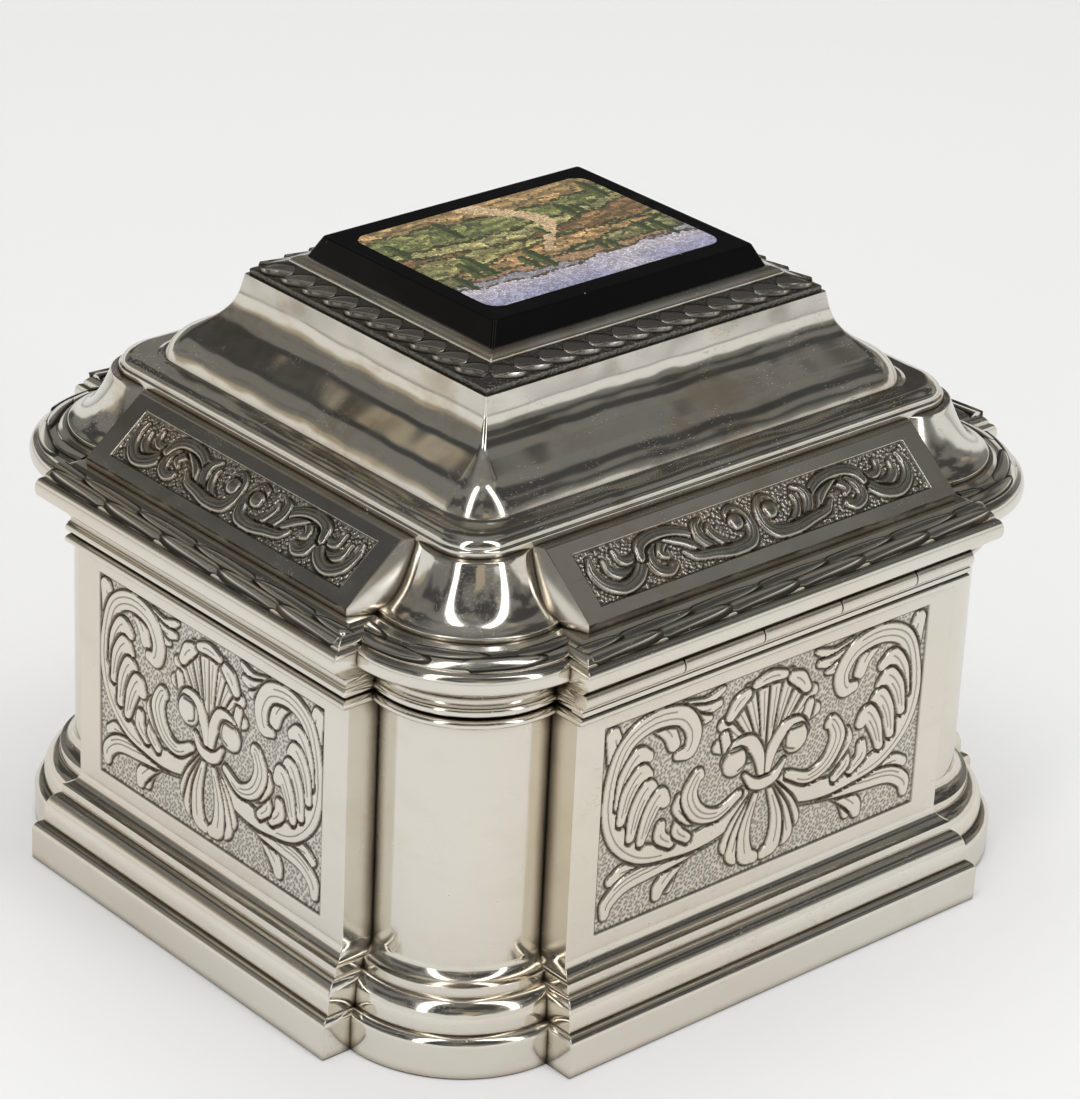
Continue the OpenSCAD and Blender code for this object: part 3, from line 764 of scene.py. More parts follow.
def velvet():
    """Deep cotton velvet, its pile brushed a little this way and that."""
    look = bpy.context.scene.casket_finish
    made, work, shader = material("Velvet", tuple(look.velvet))
    place = work.object_place()
    brushed = work.noise(work.stretched(place, (1, 1, 0.6)), 45, 3).between(0.4, 0.62)
    pile = work.noise(place, 2600, 1)
    lift = tuple(min(1, c * 2.1) for c in look.velvet)
    colour = work.mix(brushed * 0.6 + pile * 0.25, tuple(look.velvet), lift)
    work.join(colour, shader.inputs["Base Color"])
    work.join(0.86 + 0.1 * pile, shader.inputs["Roughness"])
    shader.inputs["Sheen Weight"].default_value = 0.6
    shader.inputs["Sheen Roughness"].default_value = 0.35
    work.join(work.bump(pile + 2 * brushed, 0.00018), shader.inputs["Normal"])
    return made


def felt():
    """Green baize with matted fibres."""
    look = bpy.context.scene.casket_finish
    made, work, shader = material("Felt", tuple(look.felt))
    place = work.object_place()
    fibre = work.noise(work.stretched(place, (1, 4, 1), (0, 0, 0.7)), 900, 4, 0.7)
    matted = work.noise(place, 260, 3)
    pale = tuple(min(1, c * 1.8) for c in look.felt)
    work.join(work.mix(fibre * 0.6 + matted * 0.3, tuple(look.felt), pale), shader.inputs["Base Color"])
    work.join(0.9 + 0.08 * fibre, shader.inputs["Roughness"])
    shader.inputs["Sheen Weight"].default_value = 0.25
    work.join(work.bump(fibre + matted, 0.00025), shader.inputs["Normal"])
    return made


# Kinds of silver: name, share of the tint, roughness over the polish, and its other facts
SILVERS = {
    "polished": ("Polished silver", 1.0, 0.0, {"reach": 2.6}),
    "wall": ("Wall silver", 1.0, 0.03, {"reach": 4.0, "wave": 0.7}),
    "dome": ("Raised silver", 1.0, 0.0, {"shade_and_tarnish_strength": 0.9, "wave": 3.2, "ripple": 0.3, "scuffs": 0.9, "film": 0.45}),
    "leaf": ("Leaf silver", 1.0, 0.03, {"shade_and_tarnish_strength": 1.0, "reach": 0.9, "relief": True}),
    "ground": ("Darkened silver", 0.26, 0.28, {"shade_and_tarnish_strength": 1.1, "reach": 1.2, "stipple": 1.0}),
    # The bezel's tint share above 1 lightens its colour: painted light for the brighter reflection on its slope.
    "bezel": ("Worn silver", 1.08, 0.1, {"shade_and_tarnish_strength": 0.8, "reach": 1.0, "wave": 3.0, "film": 0.5}),
    "panel": ("Chased panel silver", 1.0, 0.07, {"reach": 4.0, "relief": True}),
    "frieze": ("Chased frieze silver", 1.0, 0.05, {"film": 0.3, "relief": True}),
    "hinge": ("Hinge silver", 1.0, 0.12, {"shade_and_tarnish_strength": 1.0, "reach": 1.5}),
}
OTHERS = {"stone": black_stone, "picture": picture_stone, "velvet": velvet, "felt": felt}


def finish(kind):
    """The material of a finish, made when it is first asked for."""
    held = dict(bpy.context.scene.get("casket_made", {}))
    if kind not in held:
        if kind in SILVERS:
            look = bpy.context.scene.casket_finish
            name, share, dull, facts = SILVERS[kind]
            made = silver(name, tuple(c * share for c in look.silver), look.polish + dull, **facts)
        else:
            made = OTHERS[kind]()
        held[kind] = made.name
        bpy.context.scene["casket_made"] = held
    return bpy.data.materials[held[kind]]


# Chased fields

def flowing(points, widths, steps=7):
    """A smooth line through points, with a width at each of its places."""
    p = np.array(points, float)
    w = np.interp(np.linspace(0, 1, len(p)), np.linspace(0, 1, len(widths)), widths)
    if len(p) == 2:
        return p, w
    ends = np.vstack([2 * p[0] - p[1], p, 2 * p[-1] - p[-2]])
    line, wide = [], []
    for k in range(len(p) - 1):
        a, b, c, d = ends[k:k + 4]
        for t in np.arange(steps) / steps:
            line.append(
                0.5 * (2 * b + (c - a) * t + (2 * a - 5 * b + 4 * c - d) * t * t + (3 * b - a - 3 * c + d) * t ** 3)
            )
            wide.append(w[k] + (w[k + 1] - w[k]) * t)
    return np.array(line + [p[-1]]), np.array(wide + [w[-1]])


class Relief:
    """One half of a chased field, on a grid: heights over the ground, tone and bare ground."""

    def __init__(self, half, bottom, top, pitch):
        self.u = np.linspace(0, half, int(round(half / pitch)) + 1)
        self.v = np.linspace(bottom, top, int(round((top - bottom) / pitch)) + 1)
        self.across, self.up = np.meshgrid(self.u, self.v)
        self.height = np.zeros_like(self.across)
        self.tone = np.ones_like(self.across)
        self.bare = np.ones_like(self.across)
        self.squeeze = 1.0
        self.fatten = 1.0

    def near(self, line, reach):
        """Rows and columns of the grid within reach of a line, or None."""
        spans = []
        for axis, grid in ((1, self.v), (0, self.u)):
            least, most = line[:, axis].min() - reach, line[:, axis].max() + reach
            found = np.flatnonzero(np.abs(grid - np.clip(grid, least, most)) < 1e-9)
            if not len(found):
                return None
            spans.append(slice(found[0], found[-1] + 1))
        return tuple(spans)

    def measure(self, line, wide, where):
        """Distance outside the stroke, signed distance from its middle, place along it and half width."""
        u, v = self.across[where], self.up[where]
        best = np.full(u.shape, 1e9)
        side, place, half = (np.zeros(u.shape) for _ in range(3))
        count = len(line) - 1
        for k in range(count):
            a, b = line[k], line[k + 1]
            d = b - a
            span = max(float(d @ d), 1e-9)
            t = np.clip(((u - a[0]) * d[0] + (v - a[1]) * d[1]) / span, 0, 1)
            du, dv = u - a[0] - t * d[0], v - a[1] - t * d[1]
            away = np.hypot(du, dv)
            h = (wide[k] + (wide[k + 1] - wide[k]) * t) / 2
            better = away - h < best
            best = np.where(better, away - h, best)
            side = np.where(better, np.sign(d[0] * dv - d[1] * du) * away, side)
            place = np.where(better, (k + t) / count, place)
            half = np.where(better, h, half)
        return best, side, place, half

    def stroke(self, points, widths, rise=0.4, veins=((0, 0.1, 0.65),), outline=0.5, edge=0.4, line_w=0.1,
               shade=1.0):
        """A raised leaf, stem or ball with a dark outline, over whatever is there.

        A vein is its share of the half width off the middle, then where it starts and stops along the stroke.
        """
        points = [(u * self.squeeze, v) for u, v in points]
        line, wide = flowing(points, [w * self.fatten for w in widths])
        where = self.near(line, wide.max() / 2 + outline + 0.2)
        if where is None:
            return
        best, side, place, half = self.measure(line, wide, where)
        inside = best < 0
        close = best < outline
        swell = np.clip(-best / edge, 0, 1)
        height = rise * np.sqrt(np.clip(1 - (1 - swell) ** 2, 0, 1))
        # A shade below 1 darkens the whole stroke's colour: painted shade.
        tone = np.where(inside, shade * (0.55 + 0.45 * np.clip(-best / 0.16, 0, 1)), 0.0)
        for offset, start, stop in veins:
            gap = np.abs(side - offset * half)
            cut = np.clip(1.6 - gap / line_w, 0, 1) * (place > start) * (place < stop) * inside
            height -= 0.1 * cut
            tone *= 1 - 0.8 * cut
        ditch = -0.1 * np.clip(1 - best / outline, 0, 1)
        height = np.where(inside, height, ditch)
        fade = np.clip((best - outline * 0.55) / (outline * 0.45), 0, 1)
        outside_tone = 0.02 + 0.5 * fade
        tone = np.where(inside, tone, outside_tone)
        for kept, new in ((self.height, height), (self.tone, tone), (self.bare, np.zeros(best.shape))):
            kept[where] = np.where(close, new, kept[where])

    def line(self, points, width=0.3, depth=0.14):
        """An engraved line."""
        points = [(u * self.squeeze, v) for u, v in points]
        line, wide = flowing(points, [width, width])
        where = self.near(line, 0.6)
        if where is None:
            return
        best, _, _, _ = self.measure(line, wide, where)
        cut = np.clip(1 - np.maximum(best, 0) / 0.14, 0, 1)
        self.height[where] -= depth * cut
        self.tone[where] *= 1 - 0.9 * cut

    def both(self):
        """The whole field's places, heights, tone and bare ground, from its half and the mirror of it."""
        u = np.concatenate([-self.u[:0:-1], self.u])
        fields = [np.concatenate([a[:, :0:-1], a], axis=1) for a in (self.height, self.tone, self.bare)]
        return u, self.v, *fields


def punched(u, v, pitch, seed=3):
    """Distance from the nearest punch mark, in pitches, for every point of a grid."""
    jitter = np.random.default_rng(seed).uniform(-0.34, 0.34, (256, 256, 2))
    flat_u, flat_v = np.meshgrid(u / pitch, v / pitch)
    across, up = 0.83 * flat_u - 0.56 * flat_v, 0.56 * flat_u + 0.83 * flat_v
    cu, cv = np.floor(across).astype(int), np.floor(up).astype(int)
    best = np.full(across.shape, 9.0)
    for i in (-1, 0, 1):
        for j in (-1, 0, 1):
            off = jitter[(cu + i) % 256, (cv + j) % 256]
            best = np.minimum(best, np.hypot(cu + i + 0.5 + off[..., 0] - across, cv + j + 0.5 + off[..., 1] - up))
    return best


SLIM = [1.2, 2.4, 2.9, 2.0]


def panel_relief(half, bottom, top, squeeze):
    """Shell, volutes and acanthus scrolls of a wall panel."""
    r = Relief(half, bottom, top, 0.2)
    r.squeeze = squeeze
    # Leaves at the top corners and the sprig inside them
    r.stroke([(35.0, 48), (35.6, 54.5), (36.8, 59.2)], [2.6, 4.4, 3.2], veins=((0.1, 0.2, 0.9),))
    r.stroke([(20, 59.0), (15.5, 58.6), (11.4, 60.2)], [3.2, 2.6, 1.3])
    r.stroke([(19, 58.0), (15.2, 57.2), (12.2, 57.6)], [2.6, 2.4, 1.7])
    r.stroke([(19, 57.0), (16, 55.6), (14.2, 55.4)], [2.4, 2.0, 1.3])
    # Lower frond with its lobes
    r.stroke([(17, 30.6), (20.5, 27.6), (21.8, 24.2)], SLIM)
    r.stroke([(15, 31.0), (20, 28.4), (23.6, 25.6), (24.4, 23.6)], [1.6, 2.8, 3.2, 2.2])
    r.stroke([(22, 31.6), (28.5, 33.0), (32.0, 32.6)], [2.0, 3.2, 2.2])
    r.stroke([(26, 30.4), (32.5, 31.4), (35.6, 30.4)], [2.0, 3.0, 2.2])
    r.stroke([(9, 32.4), (17, 30.5), (25, 29.6), (32, 28.8), (36.0, 26.4), (36.6, 23.9)],
             [4.4, 3.4, 3.4, 3.4, 3.2, 2.0], veins=((0.0, 0.3, 0.9), (0.5, 0.4, 0.7)))
    # Great C scroll round to its inner ball
    r.stroke([(26, 57.6), (23.6, 55.4), (22.4, 52.8)], [3.0, 3.0, 2.8])
    r.stroke([(5, 37.0), (9, 33.4), (15, 31.8), (22, 32.0), (29, 33.6), (34.2, 38), (36.4, 44), (36.0, 51),
              (33.4, 56.6), (27.6, 59.0), (21, 58.0), (17.9, 54.2), (18.6, 50.6), (21.2, 50.4)],
             [3.4, 4.6, 3.8, 3.4, 3.8, 4.2, 4.2, 3.6, 3.6, 3.8, 3.8, 3.6, 3.2, 2.2],
             veins=((-0.35, 0.25, 0.75), (0.3, 0.5, 0.95)))
    # Lobes that spring from the scroll's inside
    for points in (
        [(34.8, 45), (33.4, 50), (30.8, 53.2), (28.4, 52.4)],
        [(34.0, 41.6), (32.6, 46.6), (30.0, 49.6), (28.2, 48.6)],
        [(31.6, 37.6), (30.4, 42.6), (28.2, 46.0), (26.6, 45.0)],
        [(29.0, 36.0), (27.4, 40.6), (25.2, 43.6), (23.8, 42.2)],
    ):
        r.stroke(points, [2.0, 3.3, 3.7, 2.6], veins=((-0.15, 0.05, 0.7), (0.4, 0.1, 0.5)))
    r.stroke([(22, 33.4), (24.4, 35.4), (24.4, 37.6)], [2.2, 2.8, 2.2])
    r.stroke([(18, 33.0), (20.4, 35.0), (20.2, 37.2)], [2.0, 2.4, 1.8])
    r.stroke([(13, 35.2), (17.6, 36.6), (20.6, 39.6), (20.4, 41.8)], [1.8, 2.4, 2.3, 1.5])
    r.stroke([(6, 37.6), (11, 35.4), (15.6, 37.0), (18.0, 41.2), (16.4, 44.8), (15.4, 44.4)],
             [1.8, 2.6, 3.4, 3.8, 2.8, 1.6], veins=((-0.3, 0.1, 0.85), (0.3, 0.2, 0.8)))
    # Centre palmette under the clasp
    r.stroke([(2.2, 37.2), (6.4, 32.0), (8.2, 28.2), (7.8, 26.8)], SLIM)
    r.stroke([(1.8, 37.0), (5.2, 31.0), (6.6, 26.0), (6.0, 24.4)], [1.0, 2.4, 3.2, 2.2])
    r.stroke([(1.4, 37.0), (3.8, 30.0), (3.4, 24.6), (1.2, 23.2)], [1.0, 2.6, 3.6, 2.4])
    # Shell: ribs, then the rolled edge
    for turn, length in ((80, 9.4), (64, 13.0), (48, 14.4), (33, 15.0), (19, 15.4), (6, 15.8)):
        t = math.radians(turn)
        tip = (length * math.sin(t), 43.2 + length * math.cos(t))
        r.stroke([(0.5, 43.2), ((0.5 + tip[0]) / 2, (43.2 + tip[1]) / 2), tip], [0.4, 1.5, 2.7], rise=0.36,
                 veins=((0.0, 0.35, 0.85),))
    r.stroke([(9.4, 47.4), (10.3, 50.6)], [2.2, 2.0], veins=())
    r.stroke([(5.6, 57.2), (7.4, 56.2), (9.2, 54.0)], [2.4, 3.2, 2.2], veins=((0, 0.2, 0.8),))
    r.stroke([(-3.4, 58.4), (0, 59.0), (3.4, 58.4)], [1.8, 2.6, 1.8], veins=((0, 0.2, 0.8),))
    # Volutes and the clasp between them
    r.stroke([(0.7, 39.8), (1.6, 44.0), (4.0, 47.2), (7.2, 47.4), (9.2, 45.2)], [1.4, 2.6, 3.0, 3.0, 3.0], veins=())
    r.stroke([(7.3, 44.4), (7.4, 44.4)], [5.6, 5.6], rise=0.5, veins=(), edge=1.3)
    r.line([(8.6, 46.6), (5.4, 46.4), (4.9, 43.6), (6.8, 42.6)], 0.26)
    r.stroke([(-4.8, 41.0), (-2.6, 38.6), (0, 38.0), (2.6, 38.6), (4.8, 41.0)], [1.0, 2.2, 2.6, 2.2, 1.0], rise=0.5,
             veins=())
    return r


def frieze_relief(half, bottom, top, squeeze):
    """Running acanthus scroll of a frieze, either side of two volutes."""
    r = Relief(half, bottom, top, 0.17)
    r.squeeze = squeeze
    r.fatten = 0.82
    # Shade 0.72 darkens the relief's colour: painted shade for the dim room that its upward slope reflects.
    facts = {"rise": 0.55, "edge": 0.85, "outline": 0.36, "line_w": 0.1, "shade": 0.72}
    pair = ((-0.36, 0.08, 0.92), (0.3, 0.05, 0.85))
    one = ((-0.1, 0.15, 0.8),)
    for points, widths, veins in (
        # End leaf and its lobes
        ([(25.8, 9.6), (28.2, 8.4), (30.4, 8.9), (31.0, 11.0)], [1.8, 2.3, 2.1, 1.1], one),
        ([(27.0, 6.9), (30.6, 6.2), (33.4, 7.5), (33.9, 9.8)], [1.8, 2.5, 2.4, 1.3], one),
        ([(25.6, 9.8), (26.6, 7.2), (29.0, 5.0), (32.6, 4.2), (35.8, 5.8), (37.0, 8.4), (36.4, 10.9)],
         [2.0, 3.0, 3.1, 3.1, 2.9, 2.4, 1.2], pair),
        # Lobes that hang from the arched stem
        ([(20.4, 10.2), (23.2, 9.6), (24.7, 7.6), (24.3, 5.3), (22.2, 4.3), (20.6, 5.0)],
         [1.8, 2.6, 2.9, 2.8, 2.5, 2.3], pair),
        ([(18.6, 10.0), (21.0, 9.1), (22.1, 7.7), (21.0, 6.8)], [1.6, 2.2, 2.1, 1.4], one),
        ([(21.0, 10.4), (18.0, 9.2), (15.8, 7.8), (14.2, 6.0)], [1.4, 2.1, 2.1, 1.2], one),
        ([(11.2, 5.8), (13.6, 8.9), (17.4, 10.9), (22.0, 11.3), (25.2, 10.3), (26.3, 8.2)],
         [1.3, 2.1, 2.5, 2.7, 2.9, 2.4], pair),
        # Leaves that stand on the stem
        ([(7.6, 4.8), (10.9, 5.8), (12.9, 8.2), (12.6, 10.4), (10.9, 11.3)], [1.6, 2.5, 2.7, 2.2, 1.1], pair),
        ([(6.4, 5.0), (9.0, 6.4), (10.3, 8.5), (9.9, 9.9)], [1.4, 2.0, 1.8, 1.0], one),
        # Stem and volute
        ([(5.6, 9.6), (4.9, 10.9), (3.2, 11.2), (1.7, 9.6), (1.5, 6.6), (3.3, 4.4), (7.7, 4.0), (11.6, 4.6),
         (15.4, 5.2), (17.4, 6.6)],
         [1.2, 1.7, 1.9, 2.2, 2.9, 3.2, 2.9, 2.5, 2.1, 1.3], pair),
    ):
        r.stroke(points, widths, veins=veins, **facts)
    r.stroke([(4.0, 8.7), (4.1, 8.7)], [3.9, 3.9], veins=(), **{**facts, "rise": 0.6, "edge": 1.4})
    return r


def field_heights(relief, inner, centre, ground, mark, pebble):
    """Levels and tones of a field: border, engraved rectangle, punched ground and relief."""
    u, v, height, tone, bare = relief.both()
    across, up = np.meshgrid(u, v)
    outside = np.maximum(np.abs(across) - inner[0], np.abs(up - centre) - inner[1])
    marks = punched(u, v, mark)
    bumps = np.clip(1 - (marks / 0.5) ** 2, 0, 1)
    if pebble:
        punch, shade = 0.22 * np.sqrt(bumps), 0.12 + 0.8 * np.clip(bumps * 1.6, 0, 1)
    else:
        punch, shade = -0.09 * bumps, 0.92 - 0.62 * np.clip(bumps * 1.15, 0, 1)
    level = -ground + np.where(bare > 0.5, punch, height)
    tones = np.where(bare > 0.5, shade, tone)
    # The ground runs up to an engraved line, and past it lies the plain border
    inside = np.clip(-outside / 0.3, 0, 1)
    level = level * inside - 0.22 * (1 - inside)
    tones = tones * inside
    edge = np.clip(outside / 0.16, 0, 1)
    level = level * (1 - edge)
    tones = tones * (1 - edge) + edge
    return u, v, level, tones


# Lengths of the chased walls and friezes; the halves are for the short and the long sides
PANEL_SHEET = 1.2
FIELD_LOW, FIELD_HIGH = 21.1, 61.2
PANEL_HALF = {0: 32.05, 1: 38.8}
FRIEZE_HALF = {0: 32.25, 1: 39.0}
MARGIN = 0.7
FRIEZE_LIP = 1.5
FRIEZE_SHORT = 1.8
FRIEZE_FOOT = high("frieze_right")[0] - WALL_X
FRIEZE_HEAD = FRIEZE_FOOT - 11.7
COVE_FOOT, COVE_HEAD = 17.4, 9.6
COVE_LIP = RIM_TOP + 0.9


def grid_mesh(parts, rows):
    """Grid of points added to the parts; rows is an array of rows of points."""
    r, c = rows.shape[:2]
    index = np.arange(r * c).reshape(r, c)
    quads = np.stack([index[:-1, :-1], index[:-1, 1:], index[1:, 1:], index[1:, :-1]], -1).reshape(-1, 4)
    start = parts.count
    parts.add(rows.reshape(-1, 3), quads.tolist())
    return index + start


def framed(parts, index, corners):
    """Flat faces from a grid's edge out to four corners, given bottom left first and round."""
    start = parts.count
    parts.add(corners, [])
    a, b, c, d = range(start, start + 4)
    parts.faces += [
        [a, b] + index[0, ::-1].tolist(),
        [b, c] + index[::-1, -1].tolist(),
        [c, d] + index[-1, :].tolist(),
        [d, a] + index[:, 0].tolist(),
    ]


def painted(piece, points, tones):
    """Gives each point of the piece the tone of the nearest point of the field."""
    tree = KDTree(len(points))
    for i, p in enumerate(points):
        tree.insert(p, i)
    tree.balance()
    values = np.ones(len(piece.data.vertices))
    for i, vertex in enumerate(piece.data.vertices):
        _, found, away = tree.find(vertex.co)
        if away < 0.03 * MM:
            values[i] = tones[found]
    give_tones(piece.data, values)


def chased_piece(node, look, parts, side, rows, tones):
    """A piece made on the right side, turned to its own side, with the tones of its field."""
    parts.points = [turned(p, side) for p in parts.points]
    piece = parts.piece(node.capitalize(), finish(look), smooth=50)
    painted(piece, turned(rows.reshape(-1, 3), side) * MM, tones.reshape(-1))
    return piece


def wall_panel(side):
    """A wall: a sheet bent inwards at both ends, with its chased field."""
    wall, end = wall_of(side)
    end -= EDGE_SOFT
    half = PANEL_HALF[side % 2]
    relief = panel_relief(half + MARGIN, FIELD_LOW - MARGIN, FIELD_HIGH + MARGIN, half / PANEL_HALF[1])
    middle, reach = (FIELD_LOW + FIELD_HIGH) / 2, (FIELD_HIGH - FIELD_LOW) / 2
    u, v, level, tones = field_heights(relief, (half, reach), middle, 0.42, 0.7, False)
    across, up = np.meshgrid(u, v)
    rows = np.stack([wall + level, across, up], -1)
    parts = Parts()
    index = grid_mesh(parts, rows)
    framed(parts, index, [(wall, -end, 0), (wall, end, 0), (wall, end, WALL_TOP), (wall, -end, WALL_TOP)])
    plan = run_path(side, 0) + run_path(side, -PANEL_SHEET)[::-1]
    points, faces = skin(carried([(0, 0.0), (0, WALL_TOP)], lambda w: plan), ends=True)
    # The sheet's long outer face is the field
    field = next(k for k, (x, y) in enumerate(plan) if abs(x - wall) < 1e-6 and plan[k + 1][1] - y > 10)
    parts.add(points, faces[:field] + faces[field + 1:])
    return chased_piece(f"panel_{SIDES[side]}", "panel", parts, side, rows, tones)


def frieze_block(side):
    """A sloping frieze between two coves, with its chased field."""
    wall, edge = wall_of(side)
    edge -= FRIEZE_SHORT
    half, gap = FRIEZE_HALF[side % 2], 0.3
    run, rise = FRIEZE_FOOT - FRIEZE_HEAD, FRIEZE_TOP - RIM_TOP - FRIEZE_LIP
    length = math.hypot(run, rise)
    relief = frieze_relief(edge - gap, gap, length - gap, half / FRIEZE_HALF[1])
    u, v, level, tones = field_heights(relief, (half, 5.0), 7.5, 0.5, 0.72, True)
    level = level * np.clip((edge - gap - np.abs(u)) / 0.4, 0, 1)
    across, along = np.meshgrid(u, v)
    rows = slope_point(wall, across, along, level, run / length, rise / length)
    parts = Parts()
    index = grid_mesh(parts, rows)
    corners = [slope_point(wall, a, s, 0, run / length, rise / length)
               for a, s in ((-edge, 0), (edge, 0), (edge, length), (-edge, length))]
    framed(parts, index, corners)
    # Lip below, ledge above, end faces and a closed back
    profile = [(FRIEZE_FOOT, RIM_TOP - 0.4), (FRIEZE_FOOT, RIM_TOP + FRIEZE_LIP), (FRIEZE_HEAD, FRIEZE_TOP),
               (COLLAR_FACE - 0.8, FRIEZE_TOP), (COLLAR_FACE - 0.8, RIM_TOP - 0.4)]
    n = len(profile)
    points = [(wall + w, s * edge, z) for s in (-1, 1) for w, z in profile]
    points += [end_point(wall, s * edge, w, z, side % 2) for s in (-1, 1) for w, z in profile]
    faces = []
    for first in (0, n):
        ends = 2 * n + first
        for k in (0, 1, 2):
            faces.append([first + k, first + k + 1, ends + k + 1, ends + k])
        faces.append([ends + k for k in range(n)])
    faces += [[0, 1, n + 1, n], [2, 3, n + 3, n + 2]]
    parts.add(points, faces)
    return chased_piece(f"frieze_{SIDES[side]}", "frieze", parts, side, rows, tones)


def slope_point(wall, across, along, level, cos_, sin_):
    """Point of the frieze's face: across it, up its slope and out from it."""
    across, along, level = np.broadcast_arrays(across, along, level)
    w = FRIEZE_FOOT - along * cos_ + level * sin_
    z = RIM_TOP + FRIEZE_LIP + along * sin_ + level * cos_
    return np.stack([wall + w, across, z], -1)


def cove_radius(z):
    """Radius of the cove at a height."""
    tall = FRIEZE_TOP - COVE_LIP - 0.3
    k = min(1.0, max(0.0, (FRIEZE_TOP - z) / tall))
    return COVE_FOOT - (COVE_FOOT - COVE_HEAD) * math.sqrt(max(0.0, 1 - k * k))


def end_point(wall, edge, w, z, kind):
    """Where a frieze's end face runs in under the cove."""
    axis_u, axis_v = (AXIS_X, AXIS_Y) if kind == 0 else (AXIS_Y, AXIS_X)
    r = cove_radius(z) - 0.8
    slant, deep, most = 0.42, 0.0, 12
    while deep < most:
        du, dv = wall + w - deep - axis_u, abs(edge) + slant * deep - axis_v
        if math.hypot(du, dv) < r:
            break
        deep += 0.1
    return (wall + w - deep, math.copysign(abs(edge) + slant * deep, edge), z)


# Repeated leaves, by Geometry Nodes

def leaf_shape(name, length, width, lift, tip, crook, groove, ridge=0.0, crest=0.0, along=18):
    """A pointed leaf lying along X from the origin, raised towards its tip, with a groove round it that is painted
    dark as shade and tarnish.
    """
    across, sunk = 12, -0.35
    parts = Parts()
    rows = []
    for i in range(along + 1):
        t = i / along
        grow = min(1.0, t / 0.18 + 0.45)
        half = width / 2 * grow * max(0.0, 1 - max(0.0, (t - 0.32) / 0.68) ** tip) ** 0.75
        half = max(half, 0.02)
        for j in range(across + 1):
            s = 2 * j / across - 1
            round_ = math.sqrt(max(0.0, 1 - s ** 4))
            h = lift * (0.12 + 0.88 * t) * (0.3 + 0.7 * round_)
            h += ridge * max(0.0, 1 - abs(s - crest) * 2.6) * (0.3 + 0.7 * t)
            rows.append((length * t, s * half + crook * math.sin(math.pi * t), h))
    top = np.array(rows).reshape(along + 1, across + 1, 3)
    index = grid_mesh(parts, top)
    rim = index[0].tolist() + index[1:, -1].tolist() + index[-1, ::-1][1:].tolist() + index[::-1, 0][1:-1].tolist()
    edge = np.concatenate(parts.points)[rim]
    run = np.roll(edge, -1, 0)[:, :2] - np.roll(edge, 1, 0)[:, :2]
    off = np.stack([-run[:, 1], run[:, 0]], 1) / np.maximum(np.linalg.norm(run, axis=1), 1e-6)[:, None]
    share = np.clip(edge[:, 0] / length, 0, 1)
    ditch = edge.copy()
    ditch[:, :2] += off * (groove * np.minimum(1, share * 8) * (0.35 + 0.65 * share ** 3))[:, None]
    ditch[:, 2] *= 0.35
    low_ring = ditch.copy()
    low_ring[:, 2] = sunk
    n = len(rim)
    start = parts.count
    parts.add(np.concatenate([ditch, low_ring]), [])
    for k, m in neighbours(n, True):
        parts.faces.append([rim[k], rim[m], start + m, start + k])
        parts.faces.append([start + k, start + m, start + n + m, start + n + k])
    parts.faces.append(list(range(start + n, start + 2 * n)))
    mesh = bpy.data.meshes.new(name)
    mesh.from_pydata((np.concatenate(parts.points) * MM).tolist(), [], parts.faces)
    # Low tones on the leaf's edges and tip, its sides and the groove round it: painted shade and tarnish where the
    # raised leaf shades the band below.
    tone = np.ones((along + 1, across + 1))
    tone[:, [1, -2]] = 0.35
    tone[-2] = 0.3
    tone[:, [0, -1]] = 0.0
    tone[-1] = 0.0
    give_tones(mesh, np.concatenate([tone.reshape(-1), np.zeros(2 * n)]))
    return bpy.data.objects.new(name, mesh)


def moved_leaf(leaf, up, lean=0.0, about=0.0):
    """A copy of a leaf, leaned about a place on its length and moved up the band in its own mesh."""
    copy = bpy.data.objects.new(leaf.name, leaf.data.copy())
    for vertex in copy.data.vertices:
        x, y = vertex.co.x - about * MM, vertex.co.y
        vertex.co.x = x * math.cos(lean) - y * math.sin(lean) + about * MM
        vertex.co.y = x * math.sin(lean) + y * math.cos(lean) + up * MM
    return copy


def tucked(points, limit, depth=0.9):
    """Points past the limit pulled back to it and sunk into the moulding."""
    over = depth * np.clip(np.abs(points[:, 1]) - limit, 0, 1)
    points[:, 0] -= over
    points[:, 2] -= over
    points[:, 1] = np.clip(points[:, 1], -limit, limit)
    return points


BAND_OUT = 3.6  # middle of the rim's band, out from the wall
ROW_SHARES = (0.27, 0.74)  # where the two rows of leaves lie up that band
STRAIGHT_BAND = "Straight leaf band"
BAND_INPUTS = ("Count", "Pitch", "Start", "Foot out", "Foot height", "Head out", "Head height", "Bulge", "Wall")


